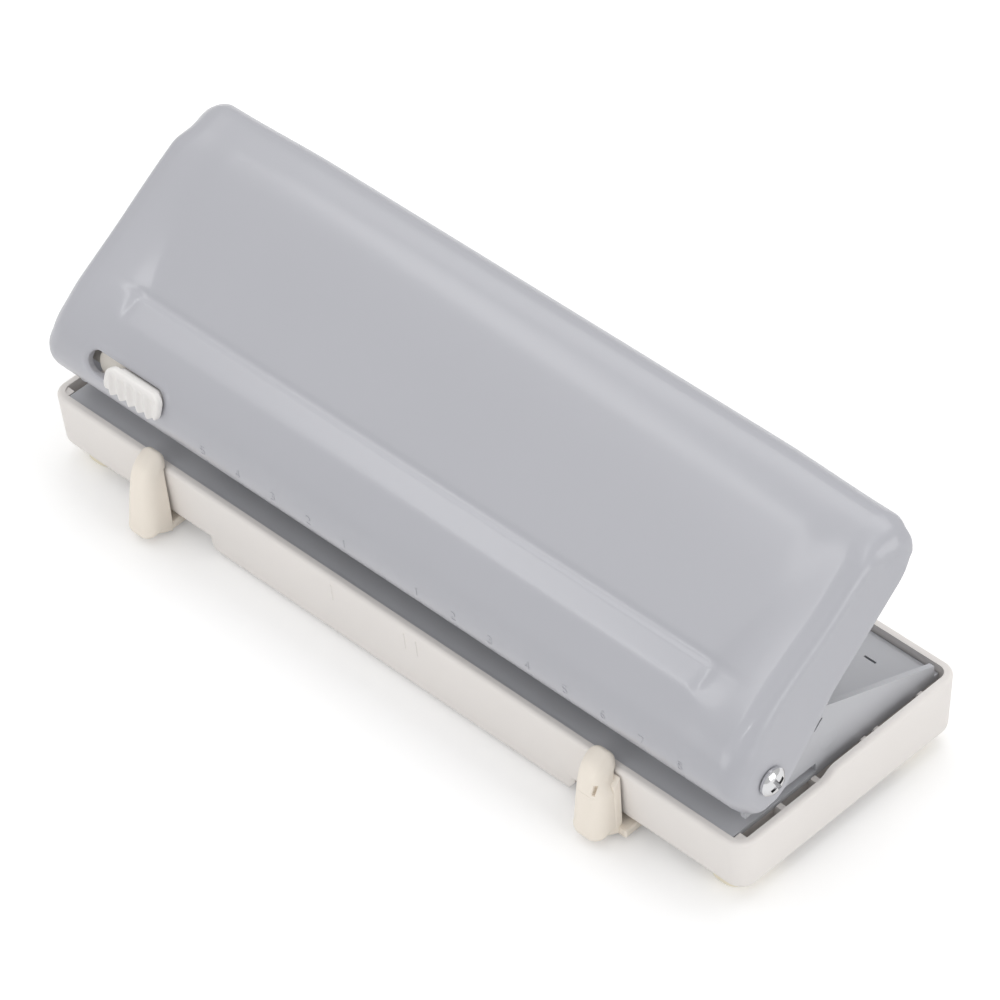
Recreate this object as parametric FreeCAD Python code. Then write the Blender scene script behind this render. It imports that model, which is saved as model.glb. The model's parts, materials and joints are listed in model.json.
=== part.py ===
import FreeCAD, Part
import math
import os

# Adjustable six-hole desk punch, standing open, in millimetres, +Z up, +Y to the back.
# The origin is under the middle of the whole punch, on the desk.

# Tray: the cream base that catches the chips
tray_width = 193.0
tray_depth = 62.3
tray_wall = 1.8
tray_floor = 2.0
tray_draft_angle = 3.0
tray_corner_radius = 4.0
tray_bottom_fillet = 2.5
belly_fillet = 1.75
rim_front_height = 17.2
rim_back_height = 18.9
rim_step_start = 23.0
rim_step_length = 5.0
foot_height = 3.5
belly_height = 0.6
belly_end_inset = 47.5
belly_step_length = 4.0
guide_reach = 7.0

# Ribs and rails inside the tray that carry the frame
rail_thickness = 1.6
rail_inset = 0.3
side_rib_thickness = 1.3
side_rib_places = (13.7, 23.3, 37.4, 41.0, 53.5)
side_rib_below_plate = 0.5
front_fill_length = 2.0

# Feet
foot_width = 8.5
foot_length = 12.5
foot_corner_radius = 3.5
foot_side_inset = 4.5
foot_front_inset = 3.2
foot_chamfer = 0.5
foot_peg_radius = 1.5
foot_peg_height = 1.4
peg_clearance = 0.05

# Frame: one painted steel sheet, a base plate with two upright ears
sheet = 1.2
frame_gap = 0.3
plate_below_rim = 0.3
bush_length = 2.5
lever_side_inset = 0.5
hinge_setback = 7.0
hinge_height = 12.4
ear_cap_radius = 4.85
ear_flat_length = 14.3
ear_slope_angle = 22.0
ear_tail_setback = 1.2
ear_slot_height = 2.1
ear_slot_depth = 23.1
window_front_gap = 1.0
window_back_gap = 0.5
window_end_strip = 8.3
mark_slot_length = 3.0
mark_slot_width = 0.5
mark_slot_angle = 40.0
mark_slot_y = 17.0
mark_slot_height = 11.9
plate_mark_inset = 12.3
plate_mark_y = 6.2

# Lever: pressed steel cover, drawn lying closed and then turned up by its open angle
open_angle = 39.0
closing_angle = 44.0
lever_sheet = 1.2
lever_end_radius = 8.0
lever_hem_radius = 3.4
lever_front = -8.35
lever_hem_height = -1.3
lever_tail = 55.6
lever_tail_height = 0.6
lever_crown = 12.3
end_steps = 6
trim_spare = 1.4
spine_front = (4.0, 0.5)
spine_back = (43.0, -1.5)
panel_front = 13.4
panel_depth = 2.2
panel_tail = 45.0
panel_tail_drop = 3.6
panel_end_margin = 19.5
panel_flare = 6.0
panel_ramp = 6.4
panel_end_ramp = 11.0
panel_run_out = 14.4

# Lock: a bolt plate under the lever with a ribbed knob outside
lock_slot_width = 5.0
slot_left_gap = 1.3
slot_right_gap = 1.0
lock_place = (-3.3, 10.05)
lock_normal_angle = 123.0
lock_travel = 4.5
bolt_thickness = 1.4
bolt_width = 6.4
bolt_drop = 3.0
bolt_left_cover = 4.6
bolt_right_cover = 2.0
knob_inset = 19.6
knob_length = 17.4
knob_base = 0.9
knob_rise = 2.6
knob_corner_radius = 2.2
knob_edge_radius = 0.6
knob_width = 6.6
knob_shift = -0.6
knob_ribs = 6
knob_rib_depth = 0.45
neck_clearance = 0.3
neck_left_inset = 0.6
neck_right_inset = 0.2
arm_thickness = 2.6
tongue_gap = 1.2
tongue_reach = 3.7
tongue_middle = (9.5, 3.0)
tongue_half = (1.0, 0.8)
tongue_clearance = 0.6

# Punching gear
unit_width = 15.0
unit_pitch = 19.0
unit_count = 6
unit_end_gap = 3.5
press_radius = 9.0
lip_radius = 0.75
contact_gap = 0.06
pin_setback = 8.7
pin_diameter = 5.5
pin_clearance = 0.05
pin_tip_gap = 0.5
pin_head_overhang = 0.2
pin_head_thickness = 1.4
pin_tip_cut = 0.8
edge_distance = 6.0
throat_height = 2.1
die_depth = 3.7
arm_depth = 2.2
arm_front_gap = 4.9
die_front_reach = 6.3
throat_lead = 0.6
web_chamfer = 2.0
web_depth = 9.2
web_height = 9.8
boss_gap = 0.3
boss_height = 2.4
seat_depth = 1.0
seat_gap = 0.7
rod_diameter = 5.0
rod_clearance = 0.05
rod_setback = 4.2
rod_height = 5.8
ring_thickness = 0.8
ring_diameter = 8.0
ring_mouth = 3.0
clamp_shank_diameter = 3.0
clamp_head_diameter = 6.0
clamp_head_thickness = 2.0
clamp_slot_width = 0.9
clamp_slot_depth = 0.9

# Return springs
wire = 0.7
spring_diameter = 10.0
spring_turns = 4
lead_radius = 0.9

# Press bar under the lever
bar_end_gap = 0.8
bar_web = 1.5
bar_flange_start = 2.0

# Hinge hardware
screw_diameter = 3.0
screw_clearance = 0.06
screw_head_diameter = 6.2
screw_head_height = 1.7
screw_rim_height = 0.6
screw_end_gap = 0.5
bush_diameter = 6.0
nut_flats = 5.5
nut_thickness = 2.2
cross_width = 0.9
cross_length = 3.6
cross_depth = 1.1

# Paper guides
guide_width = 7.5
guide_left_inset = 36.0
guide_right_inset = 38.7
guide_plate_width = 1.8
guide_gap = 0.2
guide_base_height = 1.2
guide_above_rim = 3.0
guide_hook_cover = 1.2
guide_front_radius = 3.2
guide_lean = 1.4
guide_shoulder_drop = 7.0
guide_toe_radius = 1.5
guide_heel_radius = 1.2
flange_thickness = 1.9
flange_depth = 6.0
bead_width = 0.8
bead_height = 0.7
groove_clearance = 0.2
groove_setback = 3.6
cap_height = 7.4
cap_parting = 0.3
clip_depth = 3.15
clip_back_drop = 1.6
clip_front_drop = 3.4
notch_start = 1.6
notch_length = 1.8
notch_top_drop = 1.4
notch_height = 2.8

# Places worked out from the sizes above
tray_front_y = (guide_reach - tray_depth) / 2.0
tray_back_y = tray_front_y + tray_depth
tray_half = tray_width / 2.0
belly_half_width = tray_half - belly_end_inset
guide_left_inner = guide_left_inset - tray_half
guide_right_inner = tray_half - guide_right_inset
lever_half_width = tray_half - lever_side_inset
frame_half = lever_half_width - lever_sheet - bush_length
frame_front_y = tray_front_y + tray_wall + frame_gap
frame_back_y = tray_back_y - tray_wall - frame_gap
plate_top_z = rim_front_height - plate_below_rim
plate_bottom_z = plate_top_z - sheet
hinge_y = frame_front_y + hinge_setback
hinge_z = plate_top_z + hinge_height
pin_y = hinge_y + pin_setback
throat_back_y = pin_y + edge_distance
web_back_y = throat_back_y + web_depth
throat_top_z = plate_top_z + throat_height
die_bottom_z = plate_top_z - die_depth
arm_top_z = throat_top_z + arm_depth
arm_front_y = frame_front_y + arm_front_gap
web_top_z = plate_top_z + web_height
seat_z = arm_top_z - seat_depth
boss_top_z = arm_top_z + boss_height
rod_y = web_back_y - rod_setback
rod_z = plate_top_z + rod_height
unit_front_y = pin_y - die_front_reach
outer_unit_x = (unit_count - 1) / 2.0 * unit_pitch
window_half_width = frame_half - window_end_strip
unit_travel = window_half_width - unit_end_gap - unit_width / 2.0 - outer_unit_x
pin_head_diameter = spring_diameter + 2.0 * pin_head_overhang
boss_diameter = spring_diameter - 2.0 * wire - 2.0 * boss_gap
seat_diameter = spring_diameter + 2.0 * seat_gap
bar_half_width = outer_unit_x + unit_travel + pin_head_diameter / 2.0 + bar_end_gap
half_swing = closing_angle / 2.0
press_rise = press_radius * math.sin(math.radians(half_swing))
stroke = 2.0 * press_rise
head_top_z = hinge_z + press_rise - lip_radius - contact_gap
head_bottom_z = head_top_z - pin_head_thickness
pin_tip_z = throat_top_z + pin_tip_gap
spring_length = head_bottom_z - seat_z
knob_left = knob_inset - lever_half_width
knob_right = knob_left + knob_length
bolt_left = knob_left - bolt_left_cover
bolt_right = knob_right + bolt_right_cover
arm_left = sheet + tongue_gap + tongue_reach - frame_half

X_AXIS = FreeCAD.Vector(1, 0, 0)
Y_AXIS = FreeCAD.Vector(0, 1, 0)
Z_AXIS = FreeCAD.Vector(0, 0, 1)


def vec(x, y, z):
    return FreeCAD.Vector(x, y, z)


def box(x0, x1, y0, y1, z0, z1):
    return Part.makeBox(x1 - x0, y1 - y0, z1 - z0, vec(x0, y0, z0))


def rod_along(axis, start, radius, length):
    return Part.makeCylinder(radius, length, start, axis)


def mirrored(shape):
    return shape.mirror(vec(0, 0, 0), X_AXIS)


def side_prism(points, x0, x1):
    """A solid between x0 and x1 whose outline is a list of (y, z) corners."""
    corners = [vec(x0, y, z) for y, z in points]
    face = Part.Face(Part.makePolygon(corners + corners[:1]))
    return face.extrude(vec(x1 - x0, 0, 0))


def rounded_plan(x0, x1, y0, y1, radius, z):
    """A closed wire: a rectangle with round corners, lying flat at height z."""
    r = radius
    k = r * (1.0 - math.sqrt(0.5))
    corners = (
        ((x1 - r, y0), (x1 - k, y0 + k), (x1, y0 + r)),
        ((x1, y1 - r), (x1 - k, y1 - k), (x1 - r, y1)),
        ((x0 + r, y1), (x0 + k, y1 - k), (x0, y1 - r)),
        ((x0, y0 + r), (x0 + k, y0 + k), (x0 + r, y0)),
    )
    edges = []
    last = corners[-1][2]
    for first, middle, end in corners:
        edges.append(Part.LineSegment(vec(*last, z), vec(*first, z)).toShape())
        edges.append(Part.Arc(vec(*first, z), vec(*middle, z), vec(*end, z)).toShape())
        last = end
    return Part.Wire(edges)


def rounded_block(x0, x1, y0, y1, z0, z1, radius):
    face = Part.Face(rounded_plan(x0, x1, y0, y1, radius, z0))
    return face.extrude(vec(0, 0, z1 - z0))


def drafted_box(inset, half_width, z0, z1):
    """The tray's outer shape drawn in by an inset, its walls leaning in towards the floor."""
    wires = []
    for z in (z0, z1):
        lean = (rim_back_height - z) * math.tan(math.radians(tray_draft_angle))
        d = inset + lean
        side = min(half_width, tray_half - d)
        radius = max(tray_corner_radius - inset, tray_wall)
        wires.append(rounded_plan(-side, side, tray_front_y + d, tray_back_y - d, radius, z))
    return Part.makeLoft(wires, True, True)


def edges_at_height(shape, z):
    found = []
    for edge in shape.Edges:
        b = edge.BoundBox
        if abs(b.ZMin - z) < 1e-4 and abs(b.ZMax - z) < 1e-4:
            found.append(edge)
    return found


def rim_cutter():
    """What is taken off above the rim: low in front, a soft step, high at the back."""
    y0 = tray_front_y - tray_wall
    y1 = tray_front_y + rim_step_start
    y2 = y1 + rim_step_length
    z0 = rim_front_height
    z1 = rim_back_height
    x = tray_half + tray_wall
    mid = ((y1 + y2) / 2.0, (z0 + z1) / 2.0)
    quarter = rim_step_length / 4.0
    bend = (z1 - z0) * 0.10
    low = Part.Arc(vec(-x, y1, z0), vec(-x, y1 + quarter, z0 + bend), vec(-x, *mid)).toShape()
    high = Part.Arc(vec(-x, *mid), vec(-x, y2 - quarter, z1 - bend), vec(-x, y2, z1)).toShape()
    top = z1 + tray_wall
    path = [
        Part.LineSegment(vec(-x, y0, z0), vec(-x, y1, z0)).toShape(),
        low,
        high,
        Part.LineSegment(vec(-x, y2, z1), vec(-x, y2, top)).toShape(),
        Part.LineSegment(vec(-x, y2, top), vec(-x, y0, top)).toShape(),
        Part.LineSegment(vec(-x, y0, top), vec(-x, y0, z0)).toShape(),
    ]
    return Part.Face(Part.Wire(path)).extrude(vec(2.0 * x, 0, 0))


def belly():
    """The deeper middle of the tray, with a slanted step at each end."""
    depth = foot_height - belly_height
    top = rim_front_height / 2.0
    outer = drafted_box(0.0, belly_half_width + belly_step_length, belly_height, top)
    outer = outer.makeFillet(belly_fillet, edges_at_height(outer, belly_height))
    run = belly_step_length / 2.0
    a = belly_half_width
    b = belly_half_width + run
    z0 = belly_height
    outline = [(-a, z0), (a, z0), (b, z0 + depth), (b, top), (-b, top), (-b, z0 + depth)]
    corners = [vec(x, tray_front_y, z) for x, z in outline]
    face = Part.Face(Part.makePolygon(corners + corners[:1]))
    return outer.common(face.extrude(vec(0, tray_depth, 0)))


def tray():
    outer = drafted_box(0.0, tray_half, foot_height, rim_back_height)
    outer = outer.makeFillet(tray_bottom_fillet, edges_at_height(outer, foot_height))
    outer = outer.fuse(belly())
    hollow = drafted_box(tray_wall, tray_half, foot_height + tray_floor, rim_back_height + 1.0)
    bin_half = belly_half_width - tray_wall
    bin_hollow = drafted_box(tray_wall, bin_half, belly_height + tray_floor, rim_front_height)
    body = outer.cut(hollow).cut(bin_hollow)
    for side in (-1, 1):
        body = body.fuse(tray_end_supports(side))
    body = body.cut(rim_cutter())
    for side in (-1, 1):
        body = body.cut(guide_groove(side))
        for place in foot_places():
            if place[0] * side > 0:
                body = body.cut(foot_peg(place, peg_clearance))
    return body.removeSplitter()


def tray_end_supports(side):
    """A rail under the end of the frame, and ribs from it to the side wall."""
    inner = drafted_box(tray_wall * 0.5, tray_half, foot_height + tray_floor * 0.5, plate_top_z)
    rail_x = frame_half - rail_inset
    y0 = frame_front_y
    y1 = frame_back_y
    z0 = foot_height + tray_floor * 0.5
    pieces = [box(rail_x - rail_thickness, rail_x, y0, y1, z0, plate_bottom_z)]
    rib_top = plate_top_z - side_rib_below_plate
    for place in side_rib_places:
        y = tray_front_y + place
        pieces.append(box(rail_x, frame_half + frame_gap, y, y + side_rib_thickness, z0, plate_bottom_z))
        pieces.append(box(frame_half + frame_gap, tray_half, y, y + side_rib_thickness, z0, rib_top))
    fill_end = tray_front_y + tray_wall + front_fill_length
    pieces.append(box(frame_half + frame_gap, tray_half, tray_front_y, fill_end, z0, plate_top_z))
    support = pieces[0].multiFuse(pieces[1:])
    support = support.common(inner)
    return support if side > 0 else mirrored(support)


def guide_zone(side):
    """The two X ends of the raised zone where a guide's flange runs."""
    inner = belly_half_width + belly_step_length
    outer = tray_half - foot_side_inset - foot_width
    return (inner, outer) if side > 0 else (-outer, -inner)


def groove_middle_y():
    return tray_front_y + groove_setback + tray_wall


def guide_groove(side):
    x0, x1 = guide_zone(side)
    y = groove_middle_y()
    half = bead_width / 2.0 + groove_clearance
    top = foot_height + bead_height
    return box(x0, x1, y - half, y + half, foot_height - 1.0, top)


def foot_places():
    """The middle of each foot in plan, front pair first."""
    x = tray_half - foot_side_inset - foot_width / 2.0
    front = tray_front_y + foot_front_inset + foot_length / 2.0
    back = tray_back_y - foot_front_inset - foot_length / 2.0
    return ((-x, front), (x, front), (-x, back), (x, back))


def foot_peg(place, clearance):
    height = foot_peg_height + clearance
    return rod_along(Z_AXIS, vec(place[0], place[1], foot_height), foot_peg_radius + clearance, height)


def foot(place):
    x0 = place[0] - foot_width / 2.0
    y0 = place[1] - foot_length / 2.0
    block = rounded_block(x0, x0 + foot_width, y0, y0 + foot_length, 0.0, foot_height, foot_corner_radius)
    block = block.makeChamfer(foot_chamfer, edges_at_height(block, 0.0))
    return block.fuse(foot_peg(place, 0.0))


def ear_outline():
    """The side view of an ear: a cap round the hinge, a flat top, a long slope to the back."""
    cap = ear_cap_radius
    diagonal = cap * math.sqrt(0.5)
    wide = cap * math.cos(math.radians(22.5))
    narrow = cap * math.sin(math.radians(22.5))
    top = hinge_z + cap
    slope_y = hinge_y + ear_flat_length
    tail_y = frame_back_y - ear_tail_setback
    fall = math.tan(math.radians(ear_slope_angle))
    tail_z = top - (tail_y - slope_y) * fall
    tail_z = max(tail_z, plate_top_z + sheet)
    meet_y = slope_y + (top - tail_z) / fall
    edges = [
        Part.Arc(vec(0, hinge_y - diagonal, hinge_z - diagonal),
                 vec(0, hinge_y - wide, hinge_z + narrow),
                 vec(0, hinge_y, top)).toShape(),
        Part.LineSegment(vec(0, hinge_y, top), vec(0, slope_y, top)).toShape(),
        Part.LineSegment(vec(0, slope_y, top), vec(0, meet_y, tail_z)).toShape(),
        Part.LineSegment(vec(0, meet_y, tail_z), vec(0, tail_y, plate_top_z)).toShape(),
        Part.LineSegment(vec(0, tail_y, plate_top_z), vec(0, tail_y, plate_bottom_z)).toShape(),
        Part.LineSegment(vec(0, tail_y, plate_bottom_z),
                         vec(0, hinge_y - diagonal, plate_bottom_z)).toShape(),
        Part.LineSegment(vec(0, hinge_y - diagonal, plate_bottom_z),
                         vec(0, hinge_y - diagonal, hinge_z - diagonal)).toShape(),
    ]
    return Part.Wire(edges)


def tongue_window():
    """The hole in the left ear that the lock's tongue enters when the lever is down."""
    half_y = tongue_half[0] + tongue_clearance
    half_z = tongue_half[1] + tongue_clearance
    s, n = tongue_middle
    hole = box(-frame_half - sheet, -frame_half + 2.0 * sheet, s - half_y, s + half_y, n - half_z, n + half_z)
    return turned(hole, open_angle - closing_angle)


def turned(shape, angle):
    """A copy of a piece drawn about the hinge axis, turned up by an angle and set in place."""
    copy = shape.copy()
    copy.rotate(vec(0, 0, 0), X_AXIS, angle)
    copy.translate(vec(0, hinge_y, hinge_z))
    return copy


def ear(side):
    face = Part.Face(ear_outline())
    plate = face.extrude(vec(sheet, 0, 0))
    plate.translate(vec(frame_half - sheet, 0, 0))
    slot_end = frame_front_y + ear_slot_depth
    slot_top = plate_top_z + ear_slot_height
    slot = box(0, frame_half + 1.0, frame_front_y - 1.0, slot_end, plate_top_z, slot_top)
    plate = plate.cut(slot)
    start = vec(frame_half - 2.0 * sheet, hinge_y, hinge_z)
    plate = plate.cut(rod_along(X_AXIS, start, screw_diameter / 2.0 + screw_clearance, 3.0 * sheet))
    start = vec(frame_half - 2.0 * sheet, rod_y, rod_z)
    plate = plate.cut(rod_along(X_AXIS, start, rod_diameter / 2.0 + rod_clearance, 3.0 * sheet))
    mark = box(frame_half - 2.0 * sheet, frame_half + sheet, -mark_slot_length / 2.0, mark_slot_length / 2.0,
               -mark_slot_width / 2.0, mark_slot_width / 2.0)
    mark.rotate(vec(0, 0, 0), X_AXIS, mark_slot_angle)
    mark.translate(vec(0, hinge_y + mark_slot_y, plate_top_z + mark_slot_height))
    plate = plate.cut(mark)
    return plate if side > 0 else mirrored(plate)


def frame():
    plate = box(-frame_half, frame_half, frame_front_y, frame_back_y, plate_bottom_z, plate_top_z)
    window = box(-window_half_width, window_half_width, unit_front_y - window_front_gap,
                 web_back_y + window_back_gap, plate_bottom_z - 1.0, plate_top_z + 1.0)
    body = plate.cut(window)
    for side in (-1, 1):
        body = body.fuse(ear(side))
        x = side * (frame_half - plate_mark_inset)
        y = frame_back_y - plate_mark_y
        half = mark_slot_length / 2.0
        body = body.cut(box(x - half, x + half, y, y + mark_slot_width, plate_bottom_z - 1.0, plate_top_z + 1.0))
    return body.cut(tongue_window()).removeSplitter()


def lever_points():
    """The lever's outer outline over the top, from the front hem to the back edge."""
    return [
        (lever_front, lever_hem_height - trim_spare),
        (lever_front + 0.05, 2.0),
        (lever_front + 1.05, 6.2),
        (lever_front + 4.35, 9.7),
        (3.0, lever_crown - 0.5),
        (15.0, lever_crown),
        (30.0, lever_crown - 0.7),
        (42.0, lever_crown - 2.9),
        (lever_tail - 5.6, lever_crown - 5.7),
        (lever_tail - 1.2, lever_tail_height + 3.0),
        (lever_tail, lever_tail_height - trim_spare),
    ]


def top_curve():
    curve = Part.BSplineCurve()
    curve.interpolate([vec(0, s, n) for s, n in lever_points()])
    return curve


def end_radius_at(share):
    """The rounding at the lever's ends: small at the front hem, full from the bulge on."""
    blend = min(1.0, share / 0.22)
    return lever_hem_radius + (lever_end_radius - lever_hem_radius) * blend * blend * (3.0 - 2.0 * blend)


def towards_spine(place):
    """The way from a point of the lever's outline to the nearest point of a line inside it."""
    start = vec(0, *spine_front)
    line = vec(0, *spine_back) - start
    share = (place - start).dot(line) / line.dot(line)
    nearest = start + line * min(1.0, max(0.0, share))
    way = nearest - place
    return way * (1.0 / way.Length)


def lever_section(x, inset, roll):
    """A closed side outline at x, drawn in by the sheet's inset and by the end rounding."""
    curve = top_curve()
    first, last = curve.FirstParameter, curve.LastParameter
    count = 30
    points = []
    for i in range(count + 1):
        share = i / count
        t = first + (last - first) * share
        place = curve.value(t)
        tangent = curve.tangent(t)[0]
        drawn_in = vec(0, place.y + tangent.z * inset, place.z - tangent.y * inset)
        reach = (end_radius_at(share) - inset) * roll
        moved = drawn_in + towards_spine(drawn_in) * reach
        points.append(vec(x, moved.y, moved.z))
    top = Part.BSplineCurve()
    top.interpolate(points)
    low = -12.0
    front = vec(x, points[0].y, low)
    back = vec(x, points[-1].y, low)
    return Part.Wire([
        top.toShape(),
        Part.LineSegment(points[-1], back).toShape(),
        Part.LineSegment(back, front).toShape(),
        Part.LineSegment(front, points[0]).toShape(),
    ])


def lever_solid(inset):
    """The whole lever as one solid block, or what is left inside its sheet."""
    straight = lever_half_width - lever_end_radius
    reach = lever_end_radius - inset
    middle = Part.Face(lever_section(-straight, inset, 0.0)).extrude(vec(2.0 * straight, 0, 0))
    wires = []
    for i in range(end_steps + 1):
        angle = math.radians(90.0 * i / end_steps)
        wires.append(lever_section(straight + reach * math.sin(angle), inset, 1.0 - math.cos(angle)))
    cap = Part.makeLoft(wires, True, False)
    return middle.multiFuse([cap, mirrored(cap)])


def under_lever():
    """Everything below the lever's lower edge: hem, hinge lug, straight side and raised tail."""
    edge = [
        (lever_front - 6.0, lever_hem_height),
        (lever_front, lever_hem_height),
        (-5.5, -2.9),
        (-4.0, -4.3),
        (-2.5, -5.6),
        (0.0, -6.2),
        (2.0, -6.0),
        (11.5, -4.6),
        (20.0, -3.1),
        (46.5, -3.1),
        (50.4, -2.6),
        (52.2, -1.2),
        (lever_tail - 2.4, lever_tail_height),
        (lever_tail + 6.0, lever_tail_height),
        (lever_tail + 6.0, -20.0),
        (lever_front - 6.0, -20.0),
    ]
    x = lever_half_width + 2.0
    return side_prism(edge, -x, x)


def panel_tool(depth_more):
    """The recess pressed into the top: a flat floor with a ramp in front and at the ends."""
    rise = 3.0
    floor_front = lever_crown - panel_depth
    slope = (lever_crown - panel_tail_drop - floor_front) / (panel_tail - panel_front)
    back = lever_tail + panel_run_out
    levels = []
    for up in (0.0, rise):
        grow = up / panel_depth
        front = panel_front - panel_ramp * grow - depth_more
        half_front = lever_half_width - panel_end_margin + panel_end_ramp * grow + depth_more
        half_back = half_front + panel_flare
        corner = panel_flare + panel_ramp * grow
        flare_s = panel_front + 2.0 * panel_flare
        plan = [
            (-half_front + corner, front),
            (half_front - corner, front),
            (half_front, front + corner),
            (half_back, flare_s + corner),
            (half_back, back),
            (-half_back, back),
            (-half_back, flare_s + corner),
            (-half_front, front + corner),
        ]
        base = floor_front + up - depth_more
        corners = [vec(x, s, base + slope * (s - panel_front)) for x, s in plan]
        levels.append(Part.makePolygon(corners + corners[:1]))
    return Part.makeLoft(levels, True, True)


def lock_frame(shape):
    """Sets a piece drawn flat (X along, Y across, Z out) on the lever at the lock's place."""
    copy = shape.copy()
    copy.rotate(vec(0, 0, 0), X_AXIS, lock_normal_angle - 90.0)
    copy.translate(vec(0, *lock_place))
    return copy


def slot_block(x0, x1, width, z0, z1):
    """A flat block whose two ends are round."""
    half = width / 2.0
    return rounded_block(x0, x1, -half, half, z0, z1, half - 0.01)


def lever_hollow():
    """The space under the sheet, which keeps its thickness below the pressed panel."""
    return lever_solid(lever_sheet).cut(panel_tool(lever_sheet))


def lever_closed():
    outer = lever_solid(0.0).cut(under_lever()).cut(panel_tool(0.0))
    body = outer.cut(lever_hollow())
    hole = rod_along(X_AXIS, vec(-lever_half_width - 1.0, 0, 0), screw_diameter / 2.0 + screw_clearance,
                     2.0 * lever_half_width + 2.0)
    body = body.cut(hole)
    left = knob_left - lock_travel - slot_left_gap
    slot = slot_block(left, knob_right + slot_right_gap, lock_slot_width, -3.0, 6.0)
    return body.cut(lock_frame(slot))


def press_bar_closed():
    """A steel angle: its flange follows the sheet from inside, its web ends in a round lip."""
    angle = math.radians(half_swing - open_angle)
    lip_s = press_radius * math.cos(angle)
    lip_n = press_radius * math.sin(angle)
    half = bar_web / 2.0
    web = box(-bar_half_width, bar_half_width, lip_s - half, lip_s + half, lip_n, lever_crown)
    lip = rod_along(X_AXIS, vec(-bar_half_width, lip_s, lip_n), lip_radius, 2.0 * bar_half_width)
    flange = box(-bar_half_width, bar_half_width, bar_flange_start, lip_s + half, 0.0, lever_crown)
    inside = lever_hollow()
    lowered = inside.copy()
    lowered.translate(vec(0, 0, -bar_web))
    flange = flange.common(inside).cut(lowered)
    return web.common(inside).multiFuse([lip, flange]).removeSplitter()


def lock_bolt_closed():
    """The slider plate under the slot, its arm past the hinge and the tongue at its end."""
    plate = slot_block(bolt_left, bolt_right, bolt_width, -bolt_drop - bolt_thickness / 2.0,
                       -bolt_drop + bolt_thickness / 2.0)
    plate = lock_frame(plate)
    s, n = tongue_middle
    hs, hn = tongue_half
    front = -3.2
    low = 4.4
    high = 6.4
    outline = [(front, low), (3.2, low), (5.2, n - hn), (s + hs, n - hn), (s + hs, n + hn),
               (6.2, n + hn), (4.2, high), (front, high)]
    arm = side_prism(outline, arm_left, arm_left + arm_thickness)
    tongue = box(arm_left - tongue_reach, arm_left + 1.0, s - hs, s + hs, n - hn, n + hn)
    post_left = bolt_left + 3.0
    post_right = post_left + 4.0
    back = front + 2.4
    bridge = box(arm_left, post_right, front, back, low, high)
    post = box(post_left, post_right, front, back, low, high + 0.8)
    return plate.multiFuse([arm, tongue, bridge, post]).removeSplitter()


def lock_knob_closed():
    """The ribbed knob outside the lever, with its neck down through the slot."""
    neck_half = lock_slot_width / 2.0 - neck_clearance
    neck = rounded_block(knob_left + neck_left_inset, knob_right - neck_right_inset, -neck_half, neck_half,
                         -bolt_drop + bolt_thickness / 2.0, knob_base + 0.3, neck_half - 0.1)
    half = knob_width / 2.0
    y0 = knob_shift - half
    y1 = knob_shift + half
    cap = rounded_block(knob_left, knob_right, y0, y1, knob_base, knob_rise, knob_corner_radius)
    cap = cap.makeFillet(knob_edge_radius, edges_at_height(cap, knob_rise))
    pitch = (knob_right - knob_left) / (knob_ribs + 1)
    for i in range(knob_ribs):
        x = knob_left + pitch * (i + 1)
        groove = rod_along(Y_AXIS, vec(x, y0 - 1.0, knob_rise + knob_rib_depth), 2.0 * knob_rib_depth,
                           knob_width + 2.0)
        cap = cap.cut(groove)
    return lock_frame(neck.fuse(cap))


def unit_middle(index):
    """X of each unit at rest, counted from the left."""
    return (index - (unit_count - 1) / 2.0) * unit_pitch


def punch_unit(x):
    half = unit_width / 2.0
    outline = [
        (unit_front_y, die_bottom_z),
        (web_back_y, die_bottom_z),
        (web_back_y, web_top_z),
        (throat_back_y + web_chamfer, web_top_z),
        (throat_back_y, web_top_z - web_chamfer),
        (throat_back_y, arm_top_z),
        (arm_front_y, arm_top_z),
        (arm_front_y, throat_top_z + throat_lead),
        (arm_front_y + throat_lead, throat_top_z),
        (throat_back_y, throat_top_z),
        (throat_back_y, plate_top_z),
        (unit_front_y, plate_top_z),
    ]
    body = side_prism(outline, x - half, x + half)
    seat = rod_along(Z_AXIS, vec(x, pin_y, seat_z), seat_diameter / 2.0, web_height)
    body = body.cut(seat)
    boss = rod_along(Z_AXIS, vec(x, pin_y, seat_z), boss_diameter / 2.0, boss_top_z - seat_z)
    body = body.fuse(boss)
    bore = pin_diameter / 2.0 + pin_clearance
    body = body.cut(rod_along(Z_AXIS, vec(x, pin_y, die_bottom_z - 1.0), bore, web_height + die_depth + 2.0))
    rod_hole = rod_along(X_AXIS, vec(x - half - 1.0, rod_y, rod_z), rod_diameter / 2.0 + rod_clearance,
                         unit_width + 2.0)
    body = body.cut(rod_hole)
    start = vec(x, rod_y + rod_diameter / 2.0, rod_z)
    clamp_hole = rod_along(Y_AXIS, start, clamp_shank_diameter / 2.0, rod_setback)
    return body.cut(clamp_hole).removeSplitter()


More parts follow.
